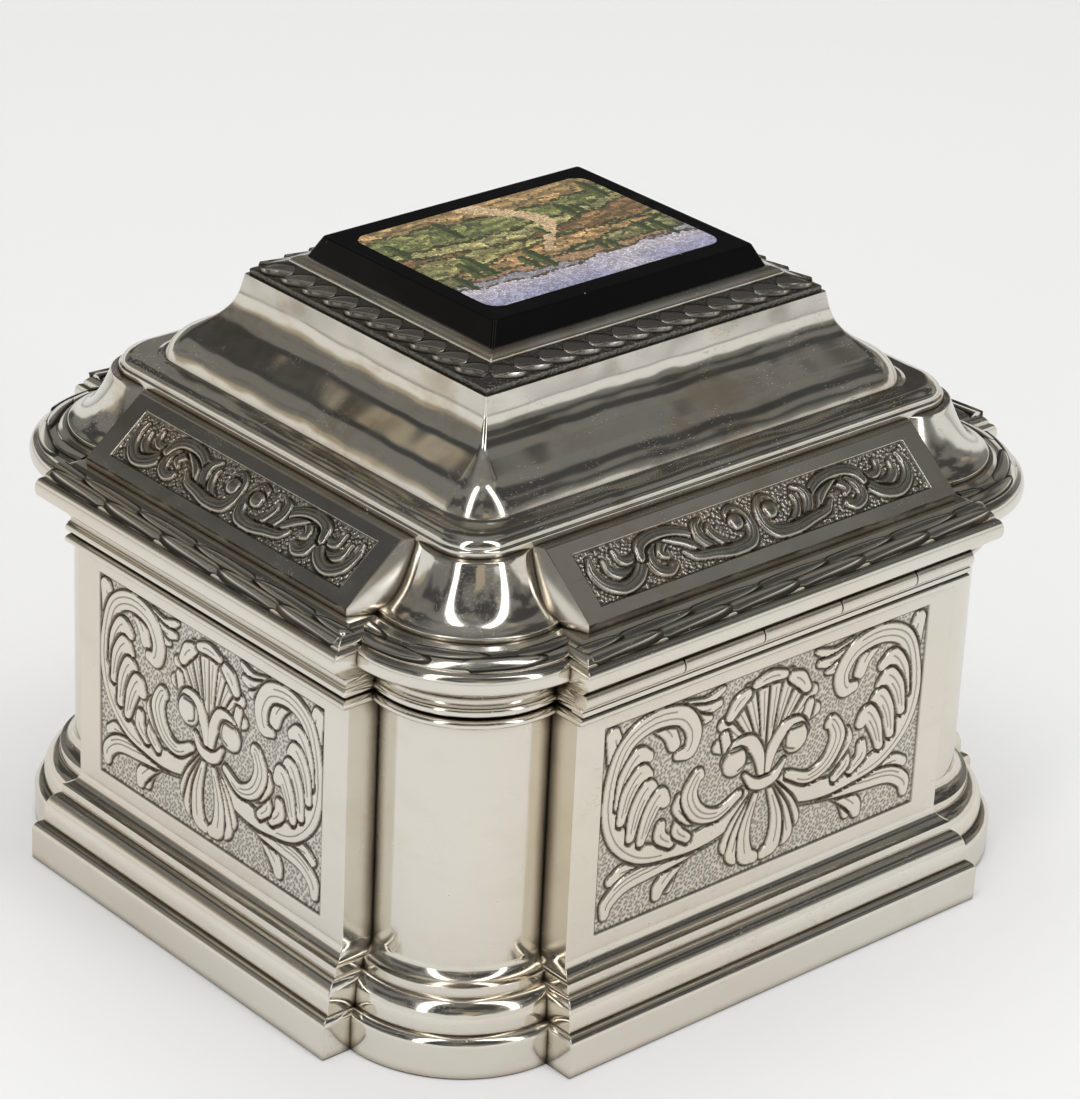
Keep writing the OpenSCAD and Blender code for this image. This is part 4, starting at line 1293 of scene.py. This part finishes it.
def band_tree(name, round_):
    """Node tree that lays leaves in a row and bends the row onto a moulding."""
    tree = bpy.data.node_groups.new(name, "GeometryNodeTree")
    face = tree.interface
    face.new_socket("Geometry", in_out="INPUT", socket_type="NodeSocketGeometry")
    face.new_socket("Leaf", in_out="INPUT", socket_type="NodeSocketObject")
    face.new_socket("Metal", in_out="INPUT", socket_type="NodeSocketMaterial")
    for label in BAND_INPUTS:
        kind = "NodeSocketInt" if label == "Count" else "NodeSocketFloat"
        face.new_socket(label, in_out="INPUT", socket_type=kind)
    face.new_socket("Geometry", in_out="OUTPUT", socket_type="NodeSocketGeometry")
    work = Work(tree)
    given = work.make("NodeGroupInput")
    get = {s.name: Wire(work, s) for s in given.outputs if s.name}
    offset = work.out("ShaderNodeCombineXYZ", {}, {0: get["Pitch"]})
    begin = work.out("ShaderNodeCombineXYZ", {}, {0: get["Start"]})
    line = work.out("GeometryNodeMeshLine", {}, {"Count": get["Count"], "Start Location": begin, "Offset": offset})
    leaf = work.make("GeometryNodeObjectInfo", {}, {0: get["Leaf"]})
    held = {"Points": line, "Instance": Wire(work, leaf.outputs["Geometry"])}
    loose = work.out("GeometryNodeRealizeInstances", {}, {0: work.out("GeometryNodeInstanceOnPoints", {}, held)})
    along, up, out = work.split(work.out("GeometryNodeInputPosition"))
    run, rise = get["Head out"] - get["Foot out"], get["Head height"] - get["Foot height"]
    length = (run * run + rise * rise).call("SQRT")
    t = up / length
    lift = out + get["Bulge"] * 4.0 * t * (1 - t)
    w = get["Foot out"] + run * t + rise / length * lift
    z = get["Foot height"] + rise * t - run / length * lift
    if round_:
        radius = get["Wall"] + w
        turn = along / (get["Wall"] + (get["Foot out"] + get["Head out"]) * 0.5)
        x, y = radius * turn.call("COSINE"), radius * turn.call("SINE")
    else:
        x, y = get["Wall"] + w, along
    bent = work.out("ShaderNodeCombineXYZ", {}, {0: x, 1: y, 2: z})
    moved = work.out("GeometryNodeSetPosition", {}, {"Geometry": loose, "Position": bent})
    real = work.out("GeometryNodeRealizeInstances", {}, {0: moved})
    shown = work.out("GeometryNodeSetMaterial", {}, {"Geometry": real, "Material": get["Metal"]})
    work.make("NodeGroupOutput", {}, {0: shown})
    return tree


def band_points(tree, leaf, metal, facts):
    """Points, faces and tones of a row of leaves, made by the node tree, in millimetres."""
    carrier = bpy.data.objects.new("Leaf carrier", bpy.data.meshes.new("Leaf carrier"))
    bpy.context.scene.collection.objects.link(carrier)
    mod = carrier.modifiers.new("Leaves", "NODES")
    mod.node_group = tree
    sockets = {s.name: s.identifier for s in tree.interface.items_tree if s.in_out == "INPUT"}
    mod[sockets["Leaf"]] = leaf
    mod[sockets["Metal"]] = metal
    for label, value in facts.items():
        mod[sockets[label]] = value if label == "Count" else value * MM
    depsgraph = bpy.context.evaluated_depsgraph_get()
    mesh = bpy.data.meshes.new_from_object(carrier.evaluated_get(depsgraph))
    points = np.empty(len(mesh.vertices) * 3)
    mesh.vertices.foreach_get("co", points)
    faces = [tuple(p.vertices) for p in mesh.polygons]
    tones = np.empty(len(mesh.vertices))
    if not faces:
        raise RuntimeError("the leaf band came out empty")
    mesh.attributes["tone"].data.foreach_get("value", tones)
    bpy.data.objects.remove(carrier)
    bpy.data.meshes.remove(mesh)
    return points.reshape(-1, 3) / MM, faces, tones


def chord(foot, head, bulge):
    """Inputs that stand a row of leaves on a chord of a profile, or on an arc over it."""
    return {"Foot out": foot[0], "Foot height": foot[1], "Head out": head[0], "Head height": head[1], "Bulge": bulge}


def rim_chord(turned_out=0.0):
    """The leaf band of the rim as a chord with the height of its arc, and the chord's length."""
    foot, middle, head = (np.array(p) + np.array([turned_out, 0]) for p in arc(*BAND, 2))
    d = (head - foot) / np.linalg.norm(head - foot)
    off = middle - foot
    bulge = abs(off[0] * d[1] - off[1] * d[0])
    return chord(foot, head, float(bulge)), float(np.linalg.norm(head - foot))


# The pieces and the stage

class CasketSizes(bpy.types.PropertyGroup):
    leaf_pitch: FloatProperty(
        name="Rim leaf pitch", description="Spacing of the leaves on the rim", default=15.2 * MM, unit="LENGTH"
    )
    laurel_pitch: FloatProperty(
        name="Laurel pitch", description="Spacing of the leaves under the stone", default=5.7 * MM, unit="LENGTH"
    )
    leaf_lift: FloatProperty(
        name="Leaf lift", description="How far a leaf's tip stands out", default=0.95 * MM, unit="LENGTH"
    )
    crown: FloatProperty(
        name="Lining crown", description="How far the velvet swells", default=0.35 * MM, unit="LENGTH"
    )


class CasketFinish(bpy.types.PropertyGroup):
    silver: FloatVectorProperty(
        name="Silver", description="Colour of the metal", default=(0.80, 0.765, 0.69), subtype="COLOR", min=0, max=1
    )
    # The oxide colour also paints the shade in the recesses, round the leaves and on the frieze's relief.
    oxide_and_shade: FloatVectorProperty(
        name="Oxide", description="Colour of the tarnish in the recesses", default=(0.035, 0.031, 0.026),
        subtype="COLOR", min=0, max=1,
    )
    polish: FloatProperty(
        name="Polish", description="Roughness of the polished metal", default=0.1, subtype="FACTOR", min=0, max=1
    )
    waviness: FloatProperty(
        name="Hammer waves", description="Depth of the slight unevenness", default=1.4, subtype="FACTOR", min=0, max=3
    )
    velvet: FloatVectorProperty(
        name="Velvet", description="Colour of the lining", default=(0.12, 0.012, 0.02), subtype="COLOR", min=0, max=1
    )
    felt: FloatVectorProperty(
        name="Felt", description="Colour of the felt", default=(0.02, 0.07, 0.035), subtype="COLOR", min=0, max=1
    )


class CasketStage(bpy.types.PropertyGroup):
    floor: FloatVectorProperty(
        name="Floor", description="Colour of the floor", default=(0.82, 0.82, 0.82), subtype="COLOR", min=0, max=1
    )
    glow: FloatProperty(name="Backdrop glow", description="Paleness the floor shows by itself", default=0.2, min=0)
    azimuth: FloatProperty(
        name="Camera azimuth", description="Direction the camera stands in", default=math.radians(137.74),
        subtype="ANGLE",
    )
    elevation: FloatProperty(
        name="Camera elevation", description="Height of the camera's angle", default=math.radians(26.04),
        subtype="ANGLE",
    )
    roll: FloatProperty(
        name="Camera roll", description="Turn of the camera about its axis", default=math.radians(2.73),
        subtype="ANGLE",
    )
    place: FloatVectorProperty(
        name="Camera place", description="Where the camera stands", default=(0.46310, 0.51402, 0.39568),
        subtype="TRANSLATION", unit="LENGTH",
    )
    lens: FloatProperty(name="Lens", description="Focal length of the camera, in millimetres", default=137.3, min=1)


class CASKET_OT_stage(bpy.types.Operator):
    """Camera, pale floor, studio lamps and surroundings"""

    bl_idname = "casket.stage"
    bl_label = "Stage"
    bl_options = {"REGISTER", "UNDO"}

    def execute(self, context):
        scene = context.scene
        facts = scene.casket_stage
        az, el, roll = facts.azimuth, facts.elevation, facts.roll
        back = Vector((math.sin(az) * math.cos(el), -math.cos(az) * math.cos(el), math.sin(el)))
        right = (-back).cross(Vector((0, 0, 1))).normalized()
        up = right.cross(-back)
        x = math.cos(roll) * right + math.sin(roll) * up
        y = -math.sin(roll) * right + math.cos(roll) * up
        camera = bpy.data.objects.new("Camera", bpy.data.cameras.new("Camera"))
        scene.collection.objects.link(camera)
        matrix = Matrix((x, y, back)).transposed().to_4x4()
        matrix.translation = facts.place
        camera.matrix_world = matrix
        camera.data.sensor_width = 36
        camera.data.lens = facts.lens
        camera.data.clip_start, camera.data.clip_end = 0.01, 20
        camera.data.dof.use_dof = False
        scene.camera = camera
        scene.view_settings.view_transform = "Standard"
        self.floor(scene, facts)
        self.surroundings(scene)
        strip, wide = (0.2, 1.9), (1.8, 1.8)
        self.lamp(scene, "Left strip light", (1.0, 0.36, 1.06), strip, 4.4, (1, 0.985, 0.97))
        self.lamp(scene, "Right strip light", (-0.16, 1.05, 1.06), strip, 4.4, (0.95, 0.97, 1))
        over = self.lamp(scene, "Overhead", (-0.13, -0.15, 1.6), wide, 16.8, (1, 1, 1))
        over.visible_glossy = False
        return {"FINISHED"}

    def lamp(self, scene, name, place, size, power, tint):
        light = bpy.data.lights.new(name, "AREA")
        light.shape = "RECTANGLE"
        light.size, light.size_y = size
        light.energy = power
        light.color = tint
        lamp = bpy.data.objects.new(name, light)
        lamp.location = place
        lamp.rotation_euler = (Vector(place) - Vector((0, 0, 0.05))).to_track_quat("Z", "Y").to_euler()
        scene.collection.objects.link(lamp)
        return lamp

    def floor(self, scene, facts):
        mesh = bpy.data.meshes.new("Floor")
        reach = 4.0
        mesh.from_pydata([(reach * x, reach * y, 0) for x, y in QUARTERS], [], [(0, 1, 2, 3)])
        made, work, shader = material("Pale floor", tuple(facts.floor))
        grain = work.noise(work.object_place(), 700, 2)
        tint = tuple(facts.floor)
        work.join(work.mix(grain * 0.03, tint, (0.7, 0.7, 0.7)), shader.inputs["Base Color"])
        shader.inputs["Roughness"].default_value = 0.9
        shader.inputs["Specular IOR Level"].default_value = 0.1
        rays = work.make("ShaderNodeLightPath")
        seen = Wire(work, rays.outputs["Is Camera Ray"]) + 0.7 * Wire(work, rays.outputs["Is Glossy Ray"])
        shader.inputs["Emission Color"].default_value = (1, 1, 1, 1)
        work.join(seen * facts.glow, shader.inputs["Emission Strength"])
        mesh.materials.append(made)
        floor = bpy.data.objects.new("Floor", mesh)
        scene.collection.objects.link(floor)

    def surroundings(self, scene):
        world = bpy.data.worlds.new("Studio")
        scene.world = world
        world.use_nodes = True
        work = Work(world.node_tree)
        shade = world.node_tree.nodes["Background"]
        view = work.out("ShaderNodeTexCoord", {}, {}, "Generated")
        height = work.split(view)[2]
        # A bright horizon, then a dim room with paler and darker shapes in it
        ragged = height + 0.3 * (work.noise(view, 3.0, 2) - 0.5)
        band = 1 - ragged.between(0.21, 0.26)
        shapes = work.noise(work.stretched(view, (1, 1, 1.6), (0.2, 0.1, 0.4)), 2.1, 2)
        room = work.mix(shapes.between(0.46, 0.54), (0.06, 0.06, 0.06), (0.2, 0.195, 0.185))
        paler = work.noise(work.stretched(view, (1, 1, 2.2), (0, 0.3, 0.9)), 1.7, 1).between(0.6, 0.68)
        room = work.mix(paler, room, (0.42, 0.37, 0.28))
        colour = work.mix(band, room, (0.8, 0.8, 0.79))
        colour = work.mix(height.between(0.85, 0.97) * 0.6, colour, (0.27, 0.268, 0.26))
        work.join(colour, shade.inputs["Color"])
        shade.inputs["Strength"].default_value = 1.0


class CASKET_OT_plinth(bpy.types.Operator):
    """Stepped base mouldings: four straight runs and four quarter rings"""

    bl_idname = "casket.plinth"
    bl_label = "Plinth"
    bl_options = {"REGISTER", "UNDO"}

    def execute(self, context):
        section = backed(plinth_profile(), -0.3)
        make_runs("plinth", section, "polished", "base", "silver")
        make_corners("plinth_corner", section, "polished", "base", "silver")
        return {"FINISHED"}


class CASKET_OT_walls(bpy.types.Operator):
    """Chased wall panels, corner columns and the bead round the top"""

    bl_idname = "casket.walls"
    bl_label = "Walls"
    bl_options = {"REGISTER", "UNDO"}

    def execute(self, context):
        for side in range(4):
            settle(wall_panel(side), "base", "silver", f"panel_{SIDES[side]}")
        make_corners("column", backed([(0, 0.0), (0, WALL_TOP)], -PANEL_SHEET), "wall", "base", "silver")
        out, _, top = high("body_bead")
        half = (top - low("body_bead")[2]) / 2
        bead = arc(0, top - half, out - WALL_X, half, -90, 90, 14)
        make_piece("body_bead", ring(bead, -0.4, plan_path), "polished", "base", "silver")
        refinish("bottom_plate", "hinge")
        return {"FINISHED"}


class CASKET_OT_rim(bpy.types.Operator):
    """Lid bead, rim mouldings and their two rows of leaves"""

    bl_idname = "casket.rim"
    bl_label = "Lid rim"
    bl_options = {"REGISTER", "UNDO"}

    def execute(self, context):
        sizes = context.scene.casket_sizes
        make_piece("lid_bead", ring(lid_bead_profile(), RIM_BACK - 0.05, plan_path), "polished", "lid", "silver")
        profile = rim_profile()
        make_runs("rim", backed(profile, RIM_BACK), "polished", "lid", "silver")
        make_corners("rim_corner", backed(swollen(profile), RIM_BACK), "polished", "lid", "silver")
        pitch, lift = sizes.leaf_pitch / MM, sizes.leaf_lift / MM
        width = rim_chord()[1]
        leaf = leaf_shape("Rim leaf", pitch * 1.05, width * 0.56, lift, tip=3.4, crook=0.25, groove=0.75)
        low_leaf = leaf_shape("Corner leaf", pitch * 0.92, width * 0.56, lift * 0.4, tip=3.0, crook=0.25, groove=0.55)
        straight, bent = band_tree(STRAIGHT_BAND, False), band_tree("Round leaf band", True)
        for side in range(4):
            self.run_leaves(side, pitch, straight, leaf)
        for corner in range(4):
            self.corner_leaves(corner, bent, low_leaf)
        return {"FINISHED"}

    def run_leaves(self, side, pitch, tree, leaf):
        """Two rows of leaves along one side."""
        facts, width = rim_chord()
        wall, end = wall_of(side)
        end += END_GAIN * BAND_OUT
        parts = Parts()
        for row, share in enumerate(ROW_SHARES):
            count = int(round(2 * end / pitch))
            step = 2 * end / count
            values = dict(facts, Count=count + row, Pitch=step, Start=-end - step * (0.5 if row else 0.02), Wall=wall)
            points, faces, tones = band_points(tree, moved_leaf(leaf, share * width), finish("leaf"), values)
            points = tucked(points, end - 0.15)
            if side % 2 == 0:
                points[:, 1] *= -1
            parts.add(turned(points, side), faces, tones)
        settle(parts.piece(f"Rim_leaves_{SIDES[side]}", finish("leaf"), smooth=48, weld=0), "lid", "silver")

    def corner_leaves(self, corner, tree, leaf):
        """Two rows of leaves round one corner, a little past both of its ends."""
        facts, width = rim_chord(RIM_SWELL)
        reach = COLUMN_R + (facts["Foot out"] + facts["Head out"]) / 2
        count, spare, limit = 2, 7, 9
        step = reach * math.radians(90 + 2 * spare) / count
        parts = Parts()
        for row, share in enumerate(ROW_SHARES):
            first = -reach * math.radians(spare) - step * 0.5 * row
            values = dict(facts, Count=count + row, Pitch=step, Start=first, Wall=COLUMN_R)
            points, faces, tones = band_points(tree, moved_leaf(leaf, share * width), finish("leaf"), values)
            turns = np.degrees(np.arctan2(points[:, 1], points[:, 0]))
            away = np.hypot(points[:, 0], points[:, 1])
            turns = np.radians(np.clip(turns, -limit, 90 + limit))
            x, y = away * np.cos(turns), away * np.sin(turns)
            points[:, 0], points[:, 1] = (y + AXIS_X, x + AXIS_Y) if corner % 2 else (x + AXIS_X, y + AXIS_Y)
            parts.add(at_corner(points, corner), faces, tones)
        settle(parts.piece(f"Rim_leaves_{CORNERS[corner]}", finish("leaf"), smooth=48, weld=0), "lid", "silver")


class CASKET_OT_friezes(bpy.types.Operator):
    """Sloping chased friezes and the bell-shaped coves between them"""

    bl_idname = "casket.friezes"
    bl_label = "Friezes and coves"
    bl_options = {"REGISTER", "UNDO"}

    def execute(self, context):
        for side in range(4):
            settle(frieze_block(side), "lid", "silver_shaded", f"frieze_{SIDES[side]}")
        foot, head = np.array((COVE_FOOT, COVE_LIP + 0.05)), np.array((COVE_HEAD, FRIEZE_TOP))
        waist = np.array((COVE_FOOT - 4.4, RIM_TOP + 1.7))
        shares = np.linspace(0, 1, 24)[1:]
        bell = [tuple(foot * (1 - t) ** 2 + 2 * waist * t * (1 - t) + head * t * t) for t in shares]
        profile = softened([(COVE_FOOT, RIM_TOP - 0.3), (COVE_FOOT, COVE_LIP)] + bell + [(7.0, FRIEZE_TOP)], 0.25)
        section = backed([(r - COLUMN_R, z) for r, z in profile], 5.0 - COLUMN_R)
        make_corners("cove", section, "dome", "lid", "silver_shaded", path=cove_path)
        return {"FINISHED"}


class CASKET_OT_dome(bpy.types.Operator):
    """Stepped collar and the raised dome"""

    bl_idname = "casket.dome"
    bl_label = "Dome"
    bl_options = {"REGISTER", "UNDO"}

    def execute(self, context):
        make_piece("dome_collar", ring(collar_profile(), DOME_FOOT - 2.5, collar_path), "dome", "lid", "silver")
        shell = skin(carried(dome_profile(), dome_path), ends=True)
        make_piece("dome", shell, "dome", "lid", "silver", smooth=60)
        return {"FINISHED"}


class CASKET_OT_plaque(bpy.types.Operator):
    """Laurel moulding, bezel, black stone and its mosaic"""

    bl_idname = "casket.plaque"
    bl_label = "Plaque"
    bl_options = {"REGISTER", "UNDO"}

    def execute(self, context):
        foot, head = (LAUREL_FACE, DOME_TOP + 1.0), (LAUREL_FACE - 4.6, LAUREL_TOP)
        profile = softened([(LAUREL_FACE, DOME_TOP - 0.2), foot, head, (BEZEL_FACE - 0.6, LAUREL_TOP)], 0.2)
        form = ring(profile, BEZEL_FACE - 3.0, lambda w: rounded_path(w, 0.3, 4))
        make_piece("laurel_moulding", form, "ground", "lid", "silver_shaded")
        self.leaves(context.scene.casket_sizes.laurel_pitch / MM, foot, head)
        profile = softened(
            [(BEZEL_FACE, LAUREL_TOP - 0.3), (BEZEL_FACE, LAUREL_TOP + 0.4), (BEZEL_FACE - 0.55, BEZEL_TOP - 0.45),
             (STONE_FACE + 0.45, BEZEL_TOP), (STONE_FACE - 0.1, BEZEL_TOP)], 0.2, 4
        )
        form = ring(profile, STONE_FACE - 1.5, lambda w: rounded_path(w, 0.35, 5))
        make_piece("stone_bezel", form, "bezel", "lid", "silver")
        self.stone()
        top, bottom = high("mosaic_inlay")[2], low("mosaic_inlay")[2]
        crowned = [(-0.06, bottom), (-0.06, top - 0.14), (-0.14, top - 0.03), (-0.4, top)]
        tiles = skin(carried(crowned, picture_path), ends=True)
        make_piece("mosaic_inlay", tiles, "picture", "lid", "mosaic", smooth=30)
        return {"FINISHED"}

    def leaves(self, pitch, foot, head):
        """A row of slanted leaves on each side of the moulding."""
        width = math.dist(foot, head)
        size = pitch * 1.2, width * 0.74, 0.25
        leaf = leaf_shape("Laurel leaf", *size, tip=2.4, crook=0.3, groove=0.35, ridge=0.5, crest=-0.5, along=10)
        slanted = moved_leaf(leaf, width * 0.5, math.radians(-24), pitch * 0.5)
        tree = bpy.data.node_groups.get(STRAIGHT_BAND) or band_tree(STRAIGHT_BAND, False)
        middle = (foot[0] + head[0]) / 2
        for side in range(4):
            wall, other = (WALL_X, WALL_Y) if side % 2 == 0 else (WALL_Y, WALL_X)
            half = other + middle - 0.6
            count = int(round(2 * half / pitch))
            values = dict(chord(foot, head, 0.0), Count=count, Pitch=2 * half / count, Start=-half, Wall=wall)
            points, faces, tones = band_points(tree, slanted, finish("leaf"), values)
            points = tucked(points, other + points[:, 0] - wall - 0.3)
            if side % 2 == 0:
                points[:, 1] *= -1
            parts = Parts().add(turned(points, side), faces, tones)
            piece = parts.piece(f"Laurel_leaves_{SIDES[side]}", finish("leaf"), smooth=40, weld=0)
            settle(piece, "lid", "silver_shaded")

    def stone(self):
        """The slab: its bevelled edge, flat top, and the pocket that holds the picture."""
        bottom, bevel_w = low("stone_slab")[2], 2.2
        profile = softened(
            [(STONE_FACE, bottom), (STONE_FACE, bottom + 1.6), (STONE_FACE - bevel_w, STONE_TOP),
             (STONE_FACE - bevel_w - 2.0, STONE_TOP)], 0.3, 5
        )
        rows = carried(profile, lambda w: rounded_path(w, 0.6))
        rows += carried([(0, STONE_TOP), (0, low("mosaic_inlay")[2])], picture_path)
        make_piece("stone_slab", skin(rows, ends=True), "stone", "lid", "black_stone", smooth=30)


class CASKET_OT_hinge(bpy.types.Operator):
    """Five knuckles, the pin and the strip that carries them"""

    bl_idname = "casket.hinge"
    bl_label = "Hinge"
    bl_options = {"REGISTER", "UNDO"}

    def execute(self, context):
        y = (low("knuckle_1")[1] + high("knuckle_1")[1]) / 2
        z = (low("hinge_pin")[2] + high("hinge_pin")[2]) / 2
        for k in range(1, 6):
            node = f"knuckle_{k}"
            a, b = low(node)[0], high(node)[0]
            r = high(node)[1] - y
            start = [(a, r - 0.2), (a + 0.06, r - 0.06), (a + 0.2, r)]
            profile = start + [(b - 0.2, r), (b - 0.06, r - 0.06), (b, r - 0.2)]
            body = "lid" if k in (2, 4) else "base"
            make_piece(node, lathe(profile, 40, y, z), "hinge", body, "silver_hinge", 60, f"Hinge_{node}")
        (a, near, _), (b, far, _) = low("hinge_pin"), high("hinge_pin")
        r = (far - near) / 2
        start = [(a, r * 0.35), (a + 0.12, r * 0.75), (a + 0.4, r)]
        profile = start + [(b - 0.4, r), (b - 0.12, r * 0.75), (b, r * 0.35)]
        make_piece("hinge_pin", lathe(profile, 24, (near + far) / 2, z), "hinge", "base", "silver_hinge", 60)
        refinish("hinge_bearer", "hinge")
        return {"FINISHED"}


class CASKET_OT_lining(bpy.types.Operator):
    """Velvet-covered floor pad, wall boards, corners and lid board, and the felt underneath"""

    bl_idname = "casket.lining"
    bl_label = "Lining and felt"
    bl_options = {"REGISTER", "UNDO"}

    def execute(self, context):
        floor_low, floor_high = low("lining_floor")[2], high("lining_floor")[2]
        out, _, top = high("lining_right")
        out -= WALL_X
        piece = make_piece("lining_floor", pad(out, floor_low, floor_high), "velvet", "base", "velvet", 60)
        board = self.board(out, floor_high, top, context.scene.casket_sizes.crown / MM)
        walls = make_runs("lining", board, "velvet", "base", "velvet", 60)
        for piece in walls + make_corners("lining_corner", board, "velvet", "base", "velvet", 60):
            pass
        lid_out, _, lid_high = high("lid_lining")
        form = pad(lid_out - WALL_X, lid_high, low("lid_lining")[2])
        piece = make_piece("lid_lining", form, "velvet", "lid", "velvet", 60)
        a, b = low("base_felt"), high("base_felt")
        out = b[0] - WALL_X
        profile = softened([(out - 0.25, a[2]), (out, a[2] + 0.2), (out, b[2])], 0.1)
        piece = make_piece("base_felt", skin(carried(profile, plan_path), ends=True), "felt", "base", "felt", 60)
        plan_area(out) * MM * MM
        return {"FINISHED"}

    def board(self, out, bottom, top, swell):
        """Section of a padded board: flat back, rounded top edge and a swelling front."""
        thick, edge = 2.2, 1.0
        face, tall = out - thick, top - edge - bottom
        front = [
            (face + swell * 0.5 - swell * 0.5 * math.sin(math.pi * t), bottom + tall * t)
            for t in np.linspace(0.04, 0.96, 9)
        ]
        crest = arc(out - thick / 2, top - edge, -thick / 2 + 0.02, edge, 0, 180, 10)
        return [(face, bottom)] + front + crest + [(out, bottom)]


STEPS = (
    CASKET_OT_stage, CASKET_OT_plinth, CASKET_OT_walls, CASKET_OT_rim, CASKET_OT_friezes, CASKET_OT_dome,
    CASKET_OT_plaque, CASKET_OT_hinge, CASKET_OT_lining,
)


class CASKET_PT_panel(bpy.types.Panel):
    """Sizes, colours and the steps in order"""

    bl_idname = "CASKET_PT_panel"
    bl_label = "Silver casket"
    bl_space_type = "VIEW_3D"
    bl_region_type = "UI"
    bl_category = "Casket"

    def draw(self, context):
        for group in (context.scene.casket_sizes, context.scene.casket_finish, context.scene.casket_stage):
            for name in group.__annotations__:
                self.layout.prop(group, name)
        for step in STEPS:
            self.layout.operator(step.bl_idname)


GROUPS = {"casket_sizes": CasketSizes, "casket_finish": CasketFinish, "casket_stage": CasketStage}
CLASSES = (*GROUPS.values(), *STEPS, CASKET_PT_panel)


def register():
    for made in CLASSES:
        bpy.utils.register_class(made)
    for name, group in GROUPS.items():
        setattr(bpy.types.Scene, name, PointerProperty(type=group))


def unregister():
    for name in GROUPS:
        delattr(bpy.types.Scene, name)
    for made in reversed(CLASSES):
        bpy.utils.unregister_class(made)


def main():
    register()
    for step in STEPS:
        group, name = step.bl_idname.split(".")
        getattr(getattr(bpy.ops, group), name)()


if __name__ == "__main__":
    main()
